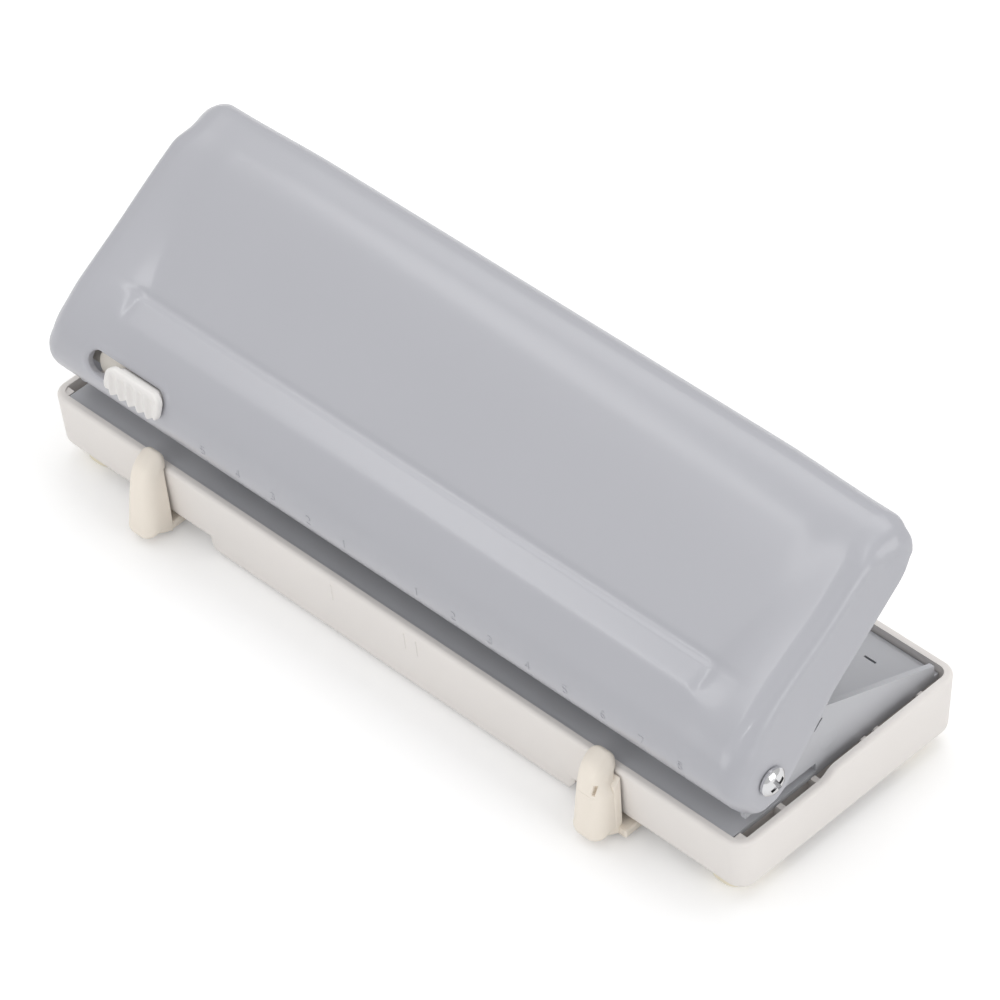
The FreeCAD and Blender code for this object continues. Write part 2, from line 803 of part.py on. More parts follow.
def clamp_screw(x):
    """A slotted screw in the back of a unit that bears on the guide rod."""
    start_y = rod_y + rod_diameter / 2.0 + rod_clearance
    shank = rod_along(Y_AXIS, vec(x, start_y, rod_z), clamp_shank_diameter / 2.0, web_back_y - start_y)
    head = rod_along(Y_AXIS, vec(x, web_back_y, rod_z), clamp_head_diameter / 2.0, clamp_head_thickness)
    face_y = web_back_y + clamp_head_thickness
    head = head.makeFillet(0.5, [e for e in head.Edges if abs(e.BoundBox.YMin - face_y) < 1e-4
                                 and e.BoundBox.YLength < 1e-4])
    slot = box(x - clamp_head_diameter, x + clamp_head_diameter, face_y - clamp_slot_depth, face_y + 1.0,
               rod_z - clamp_slot_width / 2.0, rod_z + clamp_slot_width / 2.0)
    return shank.fuse(head.cut(slot))


def punch_pin(x):
    """A pin with a flat round head and a hollow-ground cutting tip."""
    radius = pin_diameter / 2.0
    shank = rod_along(Z_AXIS, vec(x, pin_y, pin_tip_z), radius, head_bottom_z - pin_tip_z)
    notch_radius = (radius * radius + pin_tip_cut * pin_tip_cut) / (2.0 * pin_tip_cut)
    notch = rod_along(X_AXIS, vec(x - radius - 1.0, pin_y, pin_tip_z - notch_radius + pin_tip_cut),
                      notch_radius, pin_diameter + 2.0)
    head = rod_along(Z_AXIS, vec(x, pin_y, head_bottom_z), pin_head_diameter / 2.0, pin_head_thickness)
    rims = [e for e in head.Edges if abs(e.BoundBox.ZMin - head_top_z) < 1e-4 and e.BoundBox.ZLength < 1e-4]
    head = head.makeFillet(0.4, rims)
    return shank.cut(notch).fuse(head)


def bend(start, start_way, end, end_way):
    """Two arcs that join two points and leave each of them in its given direction."""
    span = end - start
    ways = start_way + end_way
    a = 2.0 * start_way.dot(end_way) - 2.0
    b = -2.0 * span.dot(ways)
    c = span.dot(span)
    reach = (-b - math.sqrt(b * b - 4.0 * a * c)) / (2.0 * a)
    first = start + start_way * reach
    second = end - end_way * reach
    middle = (first + second) * 0.5
    edges = []
    for p, q, r in ((start, first, middle), (middle, second, end)):
        chord = r - p
        weight = (q - p).dot(chord) / ((q - p).Length * chord.Length)
        top = (p + q * (2.0 * weight) + r) * (1.0 / (2.0 + 2.0 * weight))
        edges.append(Part.Arc(p, top, r).toShape())
    return edges


def spring_path(x):
    """One wire: straight up from the seat, round into the turns, and straight up to the head."""
    radius = (spring_diameter - wire) / 2.0
    z0 = seat_z + wire
    z1 = head_bottom_z - wire
    low = z0 + lead_radius
    high = z1 - lead_radius
    climb = (high - low) / (2.0 * math.pi * spring_turns)
    size = math.hypot(radius, climb)
    points = []
    ways = []
    quarters = 4 * spring_turns
    for i in range(quarters + 1):
        angle = i * math.pi / 2.0
        points.append(vec(x + radius * math.cos(angle), pin_y + radius * math.sin(angle), low + climb * angle))
        ways.append(vec(-radius * math.sin(angle), radius * math.cos(angle), climb) * (1.0 / size))
    foot_point = vec(points[0].x, points[0].y - lead_radius, z0)
    head_point = vec(points[-1].x, points[-1].y + lead_radius, z1)
    edges = [Part.LineSegment(foot_point - Z_AXIS * wire, foot_point).toShape()]
    edges += bend(foot_point, Z_AXIS, points[0], ways[0])
    for i in range(quarters):
        edges += bend(points[i], ways[i], points[i + 1], ways[i + 1])
    edges += bend(points[-1], ways[-1], head_point, Z_AXIS)
    edges.append(Part.LineSegment(head_point, head_point + Z_AXIS * wire).toShape())
    return edges


def least_gap(edges):
    """The least gap of the wire to itself, measured on points along its path."""
    places = []
    run = 0.0
    for edge in edges:
        steps = max(2, int(edge.Length / 0.25))
        for point in edge.discretize(steps + 1)[:-1]:
            places.append((run, point))
        run += edge.Length
    total = len(places)
    step = run / total
    best = run
    for i in range(total):
        for j in range(i + 1, total):
            if (j - i) * step > 3.0 * spring_diameter / 2.0:
                best = min(best, (places[i][1] - places[j][1]).Length)
    return best - wire


def pin_spring(x):
    path = spring_path(x)
    start = path[0].Vertexes[0].Point
    profile = Part.Wire([Part.makeCircle(wire / 2.0, start, Z_AXIS)])
    return Part.Wire(path).makePipeShell([profile], True, False)


def guide_rod():
    return rod_along(X_AXIS, vec(-frame_half, rod_y, rod_z), rod_diameter / 2.0, 2.0 * frame_half)


def rod_rings():
    """The two rings that keep the rod in the ears, one inside each."""
    start = vec(frame_half - sheet - ring_thickness, rod_y, rod_z)
    ring = rod_along(X_AXIS, start, ring_diameter / 2.0, ring_thickness)
    ring = ring.cut(rod_along(X_AXIS, start, rod_diameter / 2.0, ring_thickness))
    half = ring_mouth / 2.0
    gap = box(0, frame_half, rod_y - half, rod_y + half, rod_z, rod_z + ring_diameter)
    ring = ring.cut(gap)
    return Part.makeCompound([ring, mirrored(ring)])


def hinge_screw(side):
    inner = frame_half - sheet - nut_thickness - screw_end_gap
    radius = screw_diameter / 2.0
    shank = rod_along(X_AXIS, vec(inner, hinge_y, hinge_z), radius, lever_half_width - inner)
    r = screw_head_diameter / 2.0
    h = screw_head_height
    x = lever_half_width
    flat = screw_rim_height
    profile = [
        Part.LineSegment(vec(x, 0, 0), vec(x, r, 0)).toShape(),
        Part.LineSegment(vec(x, r, 0), vec(x + flat, r, 0)).toShape(),
        Part.Arc(vec(x + flat, r, 0), vec(x + flat + (h - flat) * 0.74, r * 0.68, 0), vec(x + h, 0, 0)).toShape(),
        Part.LineSegment(vec(x + h, 0, 0), vec(x, 0, 0)).toShape(),
    ]
    head = Part.Face(Part.Wire(profile)).revolve(vec(0, 0, 0), X_AXIS, 360)
    half_w = cross_width / 2.0
    half_l = cross_length / 2.0
    bottom = x + h - cross_depth
    head = head.cut(box(bottom, x + h + 1.0, -half_w, half_w, -half_l, half_l))
    head = head.cut(box(bottom, x + h + 1.0, -half_l, half_l, -half_w, half_w))
    head.rotate(vec(0, 0, 0), X_AXIS, 25.0)
    head.translate(vec(0, hinge_y, hinge_z))
    screw = shank.fuse(head)
    return screw if side > 0 else mirrored(screw)


def hinge_bush(side):
    start = vec(frame_half, hinge_y, hinge_z)
    ring = rod_along(X_AXIS, start, bush_diameter / 2.0, bush_length)
    ring = ring.cut(rod_along(X_AXIS, start, screw_diameter / 2.0, bush_length))
    return ring if side > 0 else mirrored(ring)


def hinge_nut(side):
    corner = nut_flats / math.sqrt(3.0)
    x = frame_half - sheet - nut_thickness
    points = []
    for i in range(6):
        angle = math.radians(60.0 * i)
        points.append((hinge_y + corner * math.cos(angle), hinge_z + corner * math.sin(angle)))
    nut = side_prism(points, x, x + nut_thickness)
    nut = nut.cut(rod_along(X_AXIS, vec(x, hinge_y, hinge_z), screw_diameter / 2.0, nut_thickness))
    return nut if side > 0 else mirrored(nut)


def guide_column(x0, x1):
    """The upright of a guide: round in front, its top domed back over the tray's rim."""
    front = tray_front_y - guide_reach
    back = tray_front_y - guide_gap
    hook_back = tray_front_y + guide_hook_cover
    top = rim_front_height + guide_above_rim
    z0 = guide_base_height
    lean = guide_lean
    shoulder = top - guide_shoulder_drop
    toe = guide_toe_radius
    heel = guide_heel_radius
    edges = [
        Part.LineSegment(vec(x0, front + toe, z0), vec(x0, back, z0)).toShape(),
        Part.LineSegment(vec(x0, back, z0), vec(x0, back, rim_front_height + guide_gap)).toShape(),
        Part.LineSegment(vec(x0, back, rim_front_height + guide_gap),
                         vec(x0, hook_back, rim_front_height + guide_gap)).toShape(),
        Part.LineSegment(vec(x0, hook_back, rim_front_height + guide_gap),
                         vec(x0, hook_back, top - heel)).toShape(),
        Part.Arc(vec(x0, hook_back, top - heel), vec(x0, hook_back - heel * 0.3, top - heel * 0.3),
                 vec(x0, hook_back - heel, top)).toShape(),
        Part.Arc(vec(x0, hook_back - heel, top),
                 vec(x0, front + lean + guide_shoulder_drop * 0.27, top - guide_shoulder_drop * 0.31),
                 vec(x0, front + lean, shoulder)).toShape(),
        Part.LineSegment(vec(x0, front + lean, shoulder), vec(x0, front, z0 + toe)).toShape(),
        Part.Arc(vec(x0, front, z0 + toe), vec(x0, front + toe * 0.3, z0 + toe * 0.3),
                 vec(x0, front + toe, z0)).toShape(),
    ]
    slab = Part.Face(Part.Wire(edges)).extrude(vec(x1 - x0, 0, 0))
    depth = hook_back + guide_front_radius - front
    stadium = rounded_block(x0, x1, front, front + depth + guide_front_radius, z0, top,
                            guide_front_radius)
    return slab.common(stadium)


def guide_flange(x0, x1):
    """The foot of a guide: it runs back under the tray, with a bead in the tray's groove."""
    top = guide_base_height + flange_thickness
    plate = box(x0, x1, tray_front_y - guide_gap - 1.0, tray_front_y + flange_depth + tray_wall,
                guide_base_height, top)
    y = groove_middle_y()
    half = bead_width / 2.0
    bead = box(x0, x1, y - half, y + half, top, foot_height + bead_height - groove_clearance)
    return plate.fuse(bead)


def guide_left():
    x1 = guide_left_inner
    x0 = x1 - guide_width
    return guide_column(x0, x1).fuse(guide_flange(x0, x1)).removeSplitter()


def cap_plane_z():
    return rim_front_height + guide_above_rim - cap_height


def guide_right():
    """The body of the right guide: its lower part, with the flange below."""
    x0 = guide_right_inner
    x1 = x0 + guide_width
    body = guide_column(x0, x1)
    above = box(x0 - 1.0, x1 + 1.0, tray_front_y - guide_reach - 1.0, tray_front_y + guide_reach,
                cap_plane_z() - cap_parting, rim_front_height + guide_above_rim + 1.0)
    body = body.cut(above)
    return body.fuse(guide_flange(x0, x1 + guide_plate_width)).removeSplitter()


def guide_right_cap():
    """The domed cap that hooks over the rim, with a clip plate beside the body."""
    x0 = guide_right_inner
    x1 = x0 + guide_width
    cap = guide_column(x0, x1)
    below = box(x0 - 1.0, x1 + 1.0, tray_front_y - guide_reach - 1.0, tray_front_y + guide_reach,
                guide_base_height - 1.0, cap_plane_z() - cap_parting)
    cap = cap.cut(below)
    back = tray_front_y - guide_gap
    front = back - clip_depth
    low = guide_base_height + flange_thickness
    outline = [(front, low), (back, low), (back, rim_front_height - clip_back_drop),
               (front, rim_front_height - clip_front_drop)]
    plate = side_prism(outline, x1, x1 + guide_plate_width)
    notch_top = rim_front_height - notch_top_drop
    notch = box(x1 - 1.0, x1, back - notch_start - notch_length, back - notch_start,
                notch_top - notch_height, notch_top)
    return cap.cut(notch).fuse(plate).removeSplitter()


def write(name, shape):
    shape.exportStep("parts/" + name + ".step")
    box_found = shape.BoundBox
    print("%-16s solids %d valid %s volume %.1f  x %.2f %.2f  y %.2f %.2f  z %.2f %.2f" % (
        name, len(shape.Solids), shape.isValid(), shape.Volume, box_found.XMin, box_found.XMax,
        box_found.YMin, box_found.YMax, box_found.ZMin, box_found.ZMax))


os.makedirs("parts", exist_ok=True)

write("tray", tray())
for name, place in zip(("foot_front_left", "foot_front_right", "foot_back_left", "foot_back_right"),
                       foot_places()):
    write(name, foot(place))

write("frame", frame())
write("guide_rod", guide_rod())
write("rod_rings", rod_rings())
for name, side in (("left", -1), ("right", 1)):
    write("hinge_screw_" + name, hinge_screw(side))
    write("hinge_bush_" + name, hinge_bush(side))
    write("hinge_nut_" + name, hinge_nut(side))

write("lever", turned(lever_closed(), open_angle))
write("press_bar", turned(press_bar_closed(), open_angle))
write("lock_bolt", turned(lock_bolt_closed(), open_angle))
write("lock_knob", turned(lock_knob_closed(), open_angle))

for index in range(unit_count):
    x = unit_middle(index)
    number = str(index + 1)
    write("punch_unit_" + number, punch_unit(x))
    write("clamp_screw_" + number, clamp_screw(x))
    write("punch_pin_" + number, punch_pin(x))
    write("pin_spring_" + number, pin_spring(x))

write("guide_left", guide_left())
write("guide_right", guide_right())
write("guide_right_cap", guide_right_cap())

print("pin stroke %.3f mm over %.1f degrees of lever" % (stroke, closing_angle))
print("spring length %.2f mm, least gap of the wire to itself %.2f mm" % (
    spring_length, least_gap(spring_path(0.0))))
print("lock travel %.2f mm, unit travel %.2f mm" % (lock_travel, unit_travel))
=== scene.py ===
"""The looks of an adjustable hole punch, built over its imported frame.

Lengths are millimetres unless a name says metres. A place on the lever is given as (x, s, n):
along the hinge, back along the closed lever, and up from the hinge axis.
"""
import json
import math

import bmesh
import bpy
import numpy as np
from mathutils import Matrix, Vector
from mathutils.bvhtree import BVHTree

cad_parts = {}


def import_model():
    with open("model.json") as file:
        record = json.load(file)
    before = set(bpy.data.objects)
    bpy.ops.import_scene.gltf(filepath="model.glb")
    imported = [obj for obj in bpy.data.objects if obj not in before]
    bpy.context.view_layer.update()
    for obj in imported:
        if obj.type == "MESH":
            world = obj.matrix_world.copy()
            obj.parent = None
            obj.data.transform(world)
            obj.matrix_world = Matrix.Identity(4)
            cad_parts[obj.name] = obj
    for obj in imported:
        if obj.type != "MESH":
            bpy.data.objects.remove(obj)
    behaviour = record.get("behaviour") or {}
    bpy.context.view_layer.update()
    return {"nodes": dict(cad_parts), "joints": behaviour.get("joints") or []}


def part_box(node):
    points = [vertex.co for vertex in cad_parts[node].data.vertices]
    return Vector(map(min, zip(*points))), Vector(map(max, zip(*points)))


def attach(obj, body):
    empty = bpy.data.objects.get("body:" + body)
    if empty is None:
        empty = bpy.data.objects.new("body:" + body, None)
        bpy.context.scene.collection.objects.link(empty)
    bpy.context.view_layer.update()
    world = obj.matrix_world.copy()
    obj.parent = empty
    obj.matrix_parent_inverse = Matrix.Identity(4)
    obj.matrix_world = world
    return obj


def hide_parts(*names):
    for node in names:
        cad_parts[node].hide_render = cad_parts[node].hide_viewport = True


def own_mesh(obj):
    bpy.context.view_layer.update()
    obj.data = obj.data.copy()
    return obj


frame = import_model()

METRE = 1000.0

# The lever's rest and its pressed sheet. A list of stops pairs a distance back, s, with a value:
# an end's soft and tight bending radii, the run between them, and how far the end leans in.
OPEN_ANGLE = math.radians(39.0)
SHEET = 1.2
CROWN = 12.3
END_SOFT = [(-9.0, 3.0), (0.0, 5.0), (20.0, 9.0), (44.0, 9.0), (52.0, 8.0), (56.0, 5.0)]
END_SLOPE = [(-9.0, 0.0), (0.0, 0.4), (20.0, 0.8), (44.0, 0.8), (50.0, 0.0), (56.0, 0.0)]
END_TIGHT = [(-9.0, 3.2), (-6.0, 3.9), (-3.0, 5.1), (2.0, 5.0), (9.0, 3.6), (18.0, 2.7), (42.0, 2.8),
             (49.0, 6.0), (54.6, 7.0), (55.7, 5.5)]
END_LEAN = [(-9.0, 0.3), (0.0, 0.4), (8.0, 1.0), (18.0, 1.5), (30.0, 1.4), (44.0, 1.6), (50.0, 1.4),
            (53.0, 1.0), (56.0, 0.6)]
SOFT_TILT = math.radians(14.0)
WALL_TILT = math.radians(84.0)
MARGIN_STEPS = 12
SOFT_STEPS = 7
TIGHT_STEPS = 14
WALL_STEPS = 8
SETTLE_RUN = 10.0
SPINE_FRONT = np.array([4.0, 0.5])
SPINE_BACK = np.array([43.0, -1.5])
LEVER_OUTLINE = [(-8.35, -2.7), (-8.30, 2.0), (-7.30, 6.2), (-4.0, 9.7), (3.0, 11.8), (15.0, CROWN),
                 (30.0, 11.6), (42.0, 9.4), (50.0, 6.57), (54.4, 3.57), (55.6, -0.8)]
LOWER_EDGE = [(-14.0, -1.3), (-8.35, -1.3), (-7.8, -2.4), (-6.8, -3.6), (-5.5, -4.5), (-4.0, -5.2),
              (-2.5, -5.8), (0.0, -6.2), (2.0, -6.0), (11.5, -4.6), (20.0, -3.0), (46.5, -2.9),
              (50.4, -2.5), (52.4, -1.0), (53.6, 0.6), (62.0, 0.6)]
TAIL_DRAW = 0.6
SKIRT = 6.0
RIM_RADIUS = 0.3

# The steps of the lever's rows: up to the hem's end, to the ledge's end, beyond, and at the tail.
HEM_END = 4.0
HEM_RUN = 22.0
HEM_STEP = 0.25
LEDGE_END = 18.0
LEDGE_STEP = 0.28
TOP_STEP = 0.9
TAIL_START = 41.0
TAIL_STEP = 0.6

# The recess pressed into the lever's top: its ledge in front, its lip and dip, and the ends' swell.
PANEL_FRONT = 12.7
PANEL_FLOOR = 10.1
PANEL_RISE = 1.5
PANEL_RAMP = 5.7
PANEL_FALL = 0.0443
PANEL_HALF = [(6.0, 77.2), (14.0, 77.6), (20.0, 79.0), (27.0, 81.0), (34.0, 83.0)]
PANEL_SIDE = [(6.0, 11.4), (14.0, 11.2), (20.0, 10.0), (27.0, 8.0), (34.0, 6.0)]
PANEL_BLEND = 0.06
EDGE_BLEND = 0.3
BACK_BLEND = 0.6
END_BLEND = 0.5
PANEL_SWELL = 2.2
PANEL_LIP = 0.30
LIP_START = 0.5
LIP_RUN = 1.3
PANEL_DIP = 0.18
DIP_PLACE = -1.0
DIP_WIDTH = 0.8
END_HEIGHT = [(-10.0, 14.5), (0.0, 12.6), (4.0, 12.15), (8.0, 11.85), (13.0, 11.3), (20.0, 10.45),
              (27.0, 9.7), (33.0, 9.24), (44.0, 8.74), (60.0, 8.03)]
DIMPLE = 0.18
DIMPLE_PLACE = 1.3
DIMPLE_WIDTH = 1.1
FLAT_HALF = 84.0
LEVER_COLUMNS = [(-FLAT_HALF, 0.0), (-56.0, 0.34), (54.0, 3.0), (74.0, 1.2), (FLAT_HALF, 0.6)]

# The lock's slot in the lever.
SLOT_LEFT = -82.2
SLOT_RIGHT = -60.4
SLOT_HALF = 2.5
SLOT_PLACE = np.array([-3.3, 10.05])
SLOT_TILT = math.radians(33.0)
SLOT_ROUNDING = 0.45
SLOT_SWELL = 0.2
SWELL_PLACE = 0.9
SWELL_WIDTH = 0.8

# The lock knob in the slot, and the slider plate's left end.
KNOB_LEFT = -75.1
KNOB_RIGHT = -59.4
KNOB_LOW = -3.5
KNOB_HIGH = 2.9
KNOB_BASE = 0.55
KNOB_TOP = 2.6
KNOB_END = 2.6
KNOB_EDGE = 0.8
KNOB_TAPER = 2.0
KNOB_STOOP = 0.35
KNOB_SIDE_POWER = 0.42
KNOB_TOP_POWER = 0.5
RIB_PITCH = 2.62
RIB_DEPTH = 0.85
RIB_SLANT = 0.30
RIB_POWER = 1.3
RIB_BULGE = 0.5
RIBS_TOP = 2.1
RIBS_FADE = 1.7
NECK_HALF = 2.2
PLATE_LEFT = -86.6

# The paper guides.
GUIDE_FRONT = -34.65
GUIDE_BACK = -27.85
GUIDE_HOOK = -26.45
GUIDE_LOW = 1.2
GUIDE_TOP = 20.2
HOOK_UNDER = 17.4
CAP_PLANE = 12.5
GUIDE_SPINE = np.array([[-30.8, 4.6], [-29.7, 15.6]])
GUIDE_TOE = 1.5
GUIDE_FACE = [(GUIDE_FRONT, GUIDE_LOW + GUIDE_TOE), (-34.02, 7.8), (-33.25, 13.0), (-31.36, 18.03),
              (-27.65, GUIDE_TOP)]
HOOK_RADIUS = 1.2
GUIDE_REACH = 3.1
SEAT_REACH = 0.5
LOW_REACH = 0.8
GUIDE_STEP = 0.45
LEFT_LEAN = 0.03
LEFT_GUIDE = (-68.0, -60.5)
RIGHT_GUIDE = (57.0, 65.2)
LEFT_FLANGE = (-67.6, -60.6)
RIGHT_FLANGE = (58.2, 67.1)
FLANGE_BACK = -19.85
FLANGE_SHEET = 1.9
FLANGE_EDGE = 0.6
FLANGE_CORE = np.array([4.05, 0.54])
BEAD_PLACE = 1.4
BEAD_RADIUS = 0.4
CAP_NOTCH = ((62.5, -36.0, 13.2), (63.2, -31.7, 15.4))
CLIP_SPAN = (62.4, 65.3)
CLIP_FRONT = -29.7
CLIP_LOW = 3.2
CLIP_REACH = 0.35

# The tray's rim.
TRAY_ROUNDING = 1.0
RIM_LEVEL = 16.5
TRAY_MIDDLE = 3.5
TRAY_HALF_DEPTH = 31.0

# The marks on the hem and on the tray.
MARK_WIDTH = 0.26
MARK_HEIGHT = 0.11
MARK_STEP = 0.25
RULER_ZERO = 1.7
RULER_PITCH = 10.0
DIGIT_SIZE = 1.9
DIGIT_PLACE = -6.5
DIGIT_CELL = 1.6
TICK_PLACE = -7.75
TICK_LENGTH = 1.1
TICK_SHIFT = 0.5
TRAY_TICKS = (-14.3, 6.1, 9.4)
TRAY_TICK_SPAN = (11.0, 15.2)

# The paint over the rod's ends: each ring's radius and height.
ROD_END = [(0.0, 0.03), (1.6, 0.03), (2.45, 0.02), (2.62, -0.02), (2.62, -0.7), (0.0, -0.7)]
ROD_END_SIDES = 48

# The return springs.
COIL_WIRE = 0.7
COIL_TURNS = 4
COIL_STEPS = 44
COIL_SIDES = 10

# How close places are before they are joined.
WELD = 0.002

# Finishes, floor and world.
DRIFT_SCALE = 28.0
WHITE = (1.0, 1.0, 1.0, 1.0)
FLOOR_GREY = 0.93
FLOOR_GLOW = 0.16
SKY_LEVEL = 0.60

HINGE = np.array([j["pos_m"] for j in frame["joints"] if j["name"] == "lever_hinge"][0]) * METRE


def corner_values(node):
    """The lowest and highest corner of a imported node, in millimetres."""
    low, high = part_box(node)
    return np.array(low) * METRE, np.array(high) * METRE


LEVER_HALF = corner_values("lever")[1][0]


def lever_to_world(points):
    """Places on the closed lever, turned up to its open rest."""
    points = np.asarray(points, float)
    cos, sin = math.cos(OPEN_ANGLE), math.sin(OPEN_ANGLE)
    s, n = points[..., 1], points[..., 2]
    return np.stack([points[..., 0], HINGE[1] + s * cos - n * sin, HINGE[2] + s * sin + n * cos], -1)


def soft_max(a, b, width):
    """The larger of two values, with a rounded change over a width."""
    return 0.5 * (a + b + np.sqrt((a - b) ** 2 + width ** 2))


def soft_min(a, b, width):
    return -soft_max(-a, -b, width)


def smooth_step(t):
    """From 0 to 1 with level ends."""
    t = np.clip(t, 0.0, 1.0)
    return t * t * (3.0 - 2.0 * t)


def link(obj):
    bpy.context.scene.collection.objects.link(obj)
    return obj


def mesh_object(name, points, faces):
    """A mesh from places in millimetres."""
    data = bpy.data.meshes.new(name)
    data.from_pydata((np.asarray(points, float) / METRE).tolist(), [], faces)
    data.validate()
    data.update()
    return link(bpy.data.objects.new(name, data))


def opened(obj):
    """A piece's mesh, ready to be changed."""
    work = bmesh.new()
    work.from_mesh(obj.data)
    return work


def written(work, obj):
    """Puts a changed mesh back into its piece."""
    work.to_mesh(obj.data)
    work.free()


def tube_faces(count, size, start=0, outward=True, capped=True):
    """Faces round a row of rings with equally many places, and over its two ends."""
    faces = []
    for i in range(count - 1):
        a = start + i * size
        for k in range(size):
            m = (k + 1) % size
            quad = (a + k, a + m, a + size + m, a + size + k)
            faces.append(quad if outward else quad[:1] + quad[:0:-1])
    if capped:
        last = start + (count - 1) * size
        ends = [tuple(range(start, start + size))[::-1], tuple(range(last, last + size))]
        faces += ends if outward else [end[::-1] for end in ends]
    return faces


def shade(obj, angle=math.radians(35.0)):
    """Smooth shading, with edges sharper than an angle left sharp."""
    for polygon in obj.data.polygons:
        polygon.use_smooth = True
    obj.data.set_sharp_from_angle(angle=angle)


def dress(obj, body, slot, *nodes):
    """Gives a piece its finish and its body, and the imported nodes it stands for."""
    obj.data.materials.clear()
    obj.data.materials.append(bpy.data.materials[slot])
    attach(obj, body)
    if nodes:
        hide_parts(*nodes)


def spline(points, count):
    """Places on a smooth curve through given points."""
    points = np.asarray(points, float)
    runs = np.linalg.norm(np.diff(points, axis=0), axis=1)
    knots = np.concatenate([[0.0], np.cumsum(runs)])
    size = len(points)
    matrix = np.zeros((size, size))
    right = np.zeros((size, points.shape[1]))
    matrix[0, 0] = 1.0
    matrix[-1, -1] = 1.0
    for i in range(1, size - 1):
        matrix[i, i - 1] = runs[i - 1]
        matrix[i, i] = 2.0 * (runs[i - 1] + runs[i])
        matrix[i, i + 1] = runs[i]
        right[i] = 6.0 * ((points[i + 1] - points[i]) / runs[i] - (points[i] - points[i - 1]) / runs[i - 1])
    bend = np.linalg.solve(matrix, right)
    places = np.linspace(0.0, knots[-1], count)
    index = np.clip(np.searchsorted(knots, places, side="right") - 1, 0, size - 2)
    run = runs[index][:, None]
    ahead = (knots[index + 1] - places)[:, None]
    behind = (places - knots[index])[:, None]
    value = (bend[index] * ahead ** 3 + bend[index + 1] * behind ** 3) / (6.0 * run)
    value += (points[index] / run - bend[index] * run / 6.0) * ahead
    value += (points[index + 1] / run - bend[index + 1] * run / 6.0) * behind
    return value


def arc(centre, radius, start, end, count=7):
    """Places on an arc between two angles in degrees."""
    angles = np.radians(np.linspace(start, end, count))
    return [(centre[0] + radius * math.cos(a), centre[1] + radius * math.sin(a)) for a in angles]


def dense(points, step, around=True):
    """A line with places no further apart than a step, run back to its start or left open."""
    ends = points[1:] + points[:1] if around else points[1:]
    result = []
    for start, end in zip(points, ends):
        start, end = np.array(start), np.array(end)
        parts = max(1, int(math.ceil(np.linalg.norm(end - start) / step)))
        result.extend(start + (end - start) * i / parts for i in range(parts))
    if not around:
        result.append(np.array(points[-1]))
    return np.array(result)


def run_along(points):
    """Distance along a row of places, from the first one."""
    return np.concatenate([[0.0], np.cumsum(np.linalg.norm(np.diff(points, axis=0), axis=1))])


OUTLINE = spline(LEVER_OUTLINE, 1600)
OUTLINE_RUN = run_along(OUTLINE)


def lower_edge_height(s):
    """The height at which the lever's sheet ends."""
    edge = np.array(LOWER_EDGE)
    return np.interp(s, edge[:, 0], edge[:, 1]) + RIM_RADIUS


def smooth_through(places, stops):
    """Values on a curve through given stops that never swings past them."""
    x, y = np.array(stops).T
    rise = np.diff(y) / np.diff(x)
    slope = np.concatenate([rise[:1], np.zeros(len(x) - 2), rise[-1:]])
    both = rise[:-1] * rise[1:]
    same = np.nonzero(both > 0.0)[0]
    slope[same + 1] = 2.0 * both[same] / (rise[same] + rise[same + 1])
    places = np.clip(places, x[0], x[-1])
    index = np.clip(np.searchsorted(x, places, side="right") - 1, 0, len(x) - 2)
    step = x[index + 1] - x[index]
    t = (places - x[index]) / step
    share = t * t * (3.0 - 2.0 * t)
    value = y[index] * (1.0 - share) + y[index + 1] * share
    return value + step * t * (1.0 - t) * (slope[index] * (1.0 - t) - slope[index + 1] * t)


def end_profile(s, tilt):
    """How far out and down an end of the lever has turned when it has this tilt."""
    soft, slope, tight = [smooth_through(s, stops) for stops in (END_SOFT, END_SLOPE, END_TIGHT)]
    gentle = min(tilt, SOFT_TILT)
    out = soft * math.sin(gentle)
    down = soft * (1.0 - math.cos(gentle))
    if tilt > SOFT_TILT:
        out = out + slope * math.cos(SOFT_TILT) + tight * (math.sin(tilt) - math.sin(SOFT_TILT))
        down = down + slope * math.sin(SOFT_TILT) + tight * (math.cos(SOFT_TILT) - math.cos(tilt))
    return out, down


def panel_height(x, s):
    """The height of the pressed panel: its ledge and floor, and the soft swell past its ends."""
    floor = PANEL_FLOOR - PANEL_FALL * (s - PANEL_FRONT)
    before = PANEL_FRONT - s
    ledge = PANEL_RISE * soft_max(before / PANEL_RAMP, 0.0, PANEL_BLEND)
    ledge += PANEL_LIP * smooth_step((before + LIP_START) / LIP_RUN)
    ledge -= PANEL_DIP * np.exp(-((before - DIP_PLACE) / DIP_WIDTH) ** 2)
    past = np.abs(x) - smooth_through(s, PANEL_HALF)
    share = soft_max(past, 0.0, 0.7) / smooth_through(s, PANEL_SIDE)
    share = 1.0 - (1.0 - np.clip(share, 0.0, 1.0)) ** PANEL_SWELL
    raised = (floor + ledge) * (1.0 - share) + smooth_through(s, END_HEIGHT) * share
    front = smooth_step((PANEL_FRONT + 3.0 - s) / 5.0) * smooth_step((s - 6.0) / 2.5)
    return raised - DIMPLE * np.exp(-((past - DIMPLE_PLACE) / DIMPLE_WIDTH) ** 2) * front


def pressed(s, n, x):
    """The outer surface's height after the panel is pressed into it."""
    width = EDGE_BLEND + BACK_BLEND * smooth_step((s - 30.0) / 12.0)
    width = width + END_BLEND * smooth_step((np.abs(x) - 78.0) / 8.0)
    return np.where(n > 4.0, soft_min(n, panel_height(x, s), width), n)


def drawn_in(s, x):
    """How far the tail's edge is drawn in towards the lever's ends."""
    return TAIL_DRAW * smooth_step((s - 40.0) / 12.0) * smooth_step((np.abs(x) - 60.0) / 28.0)


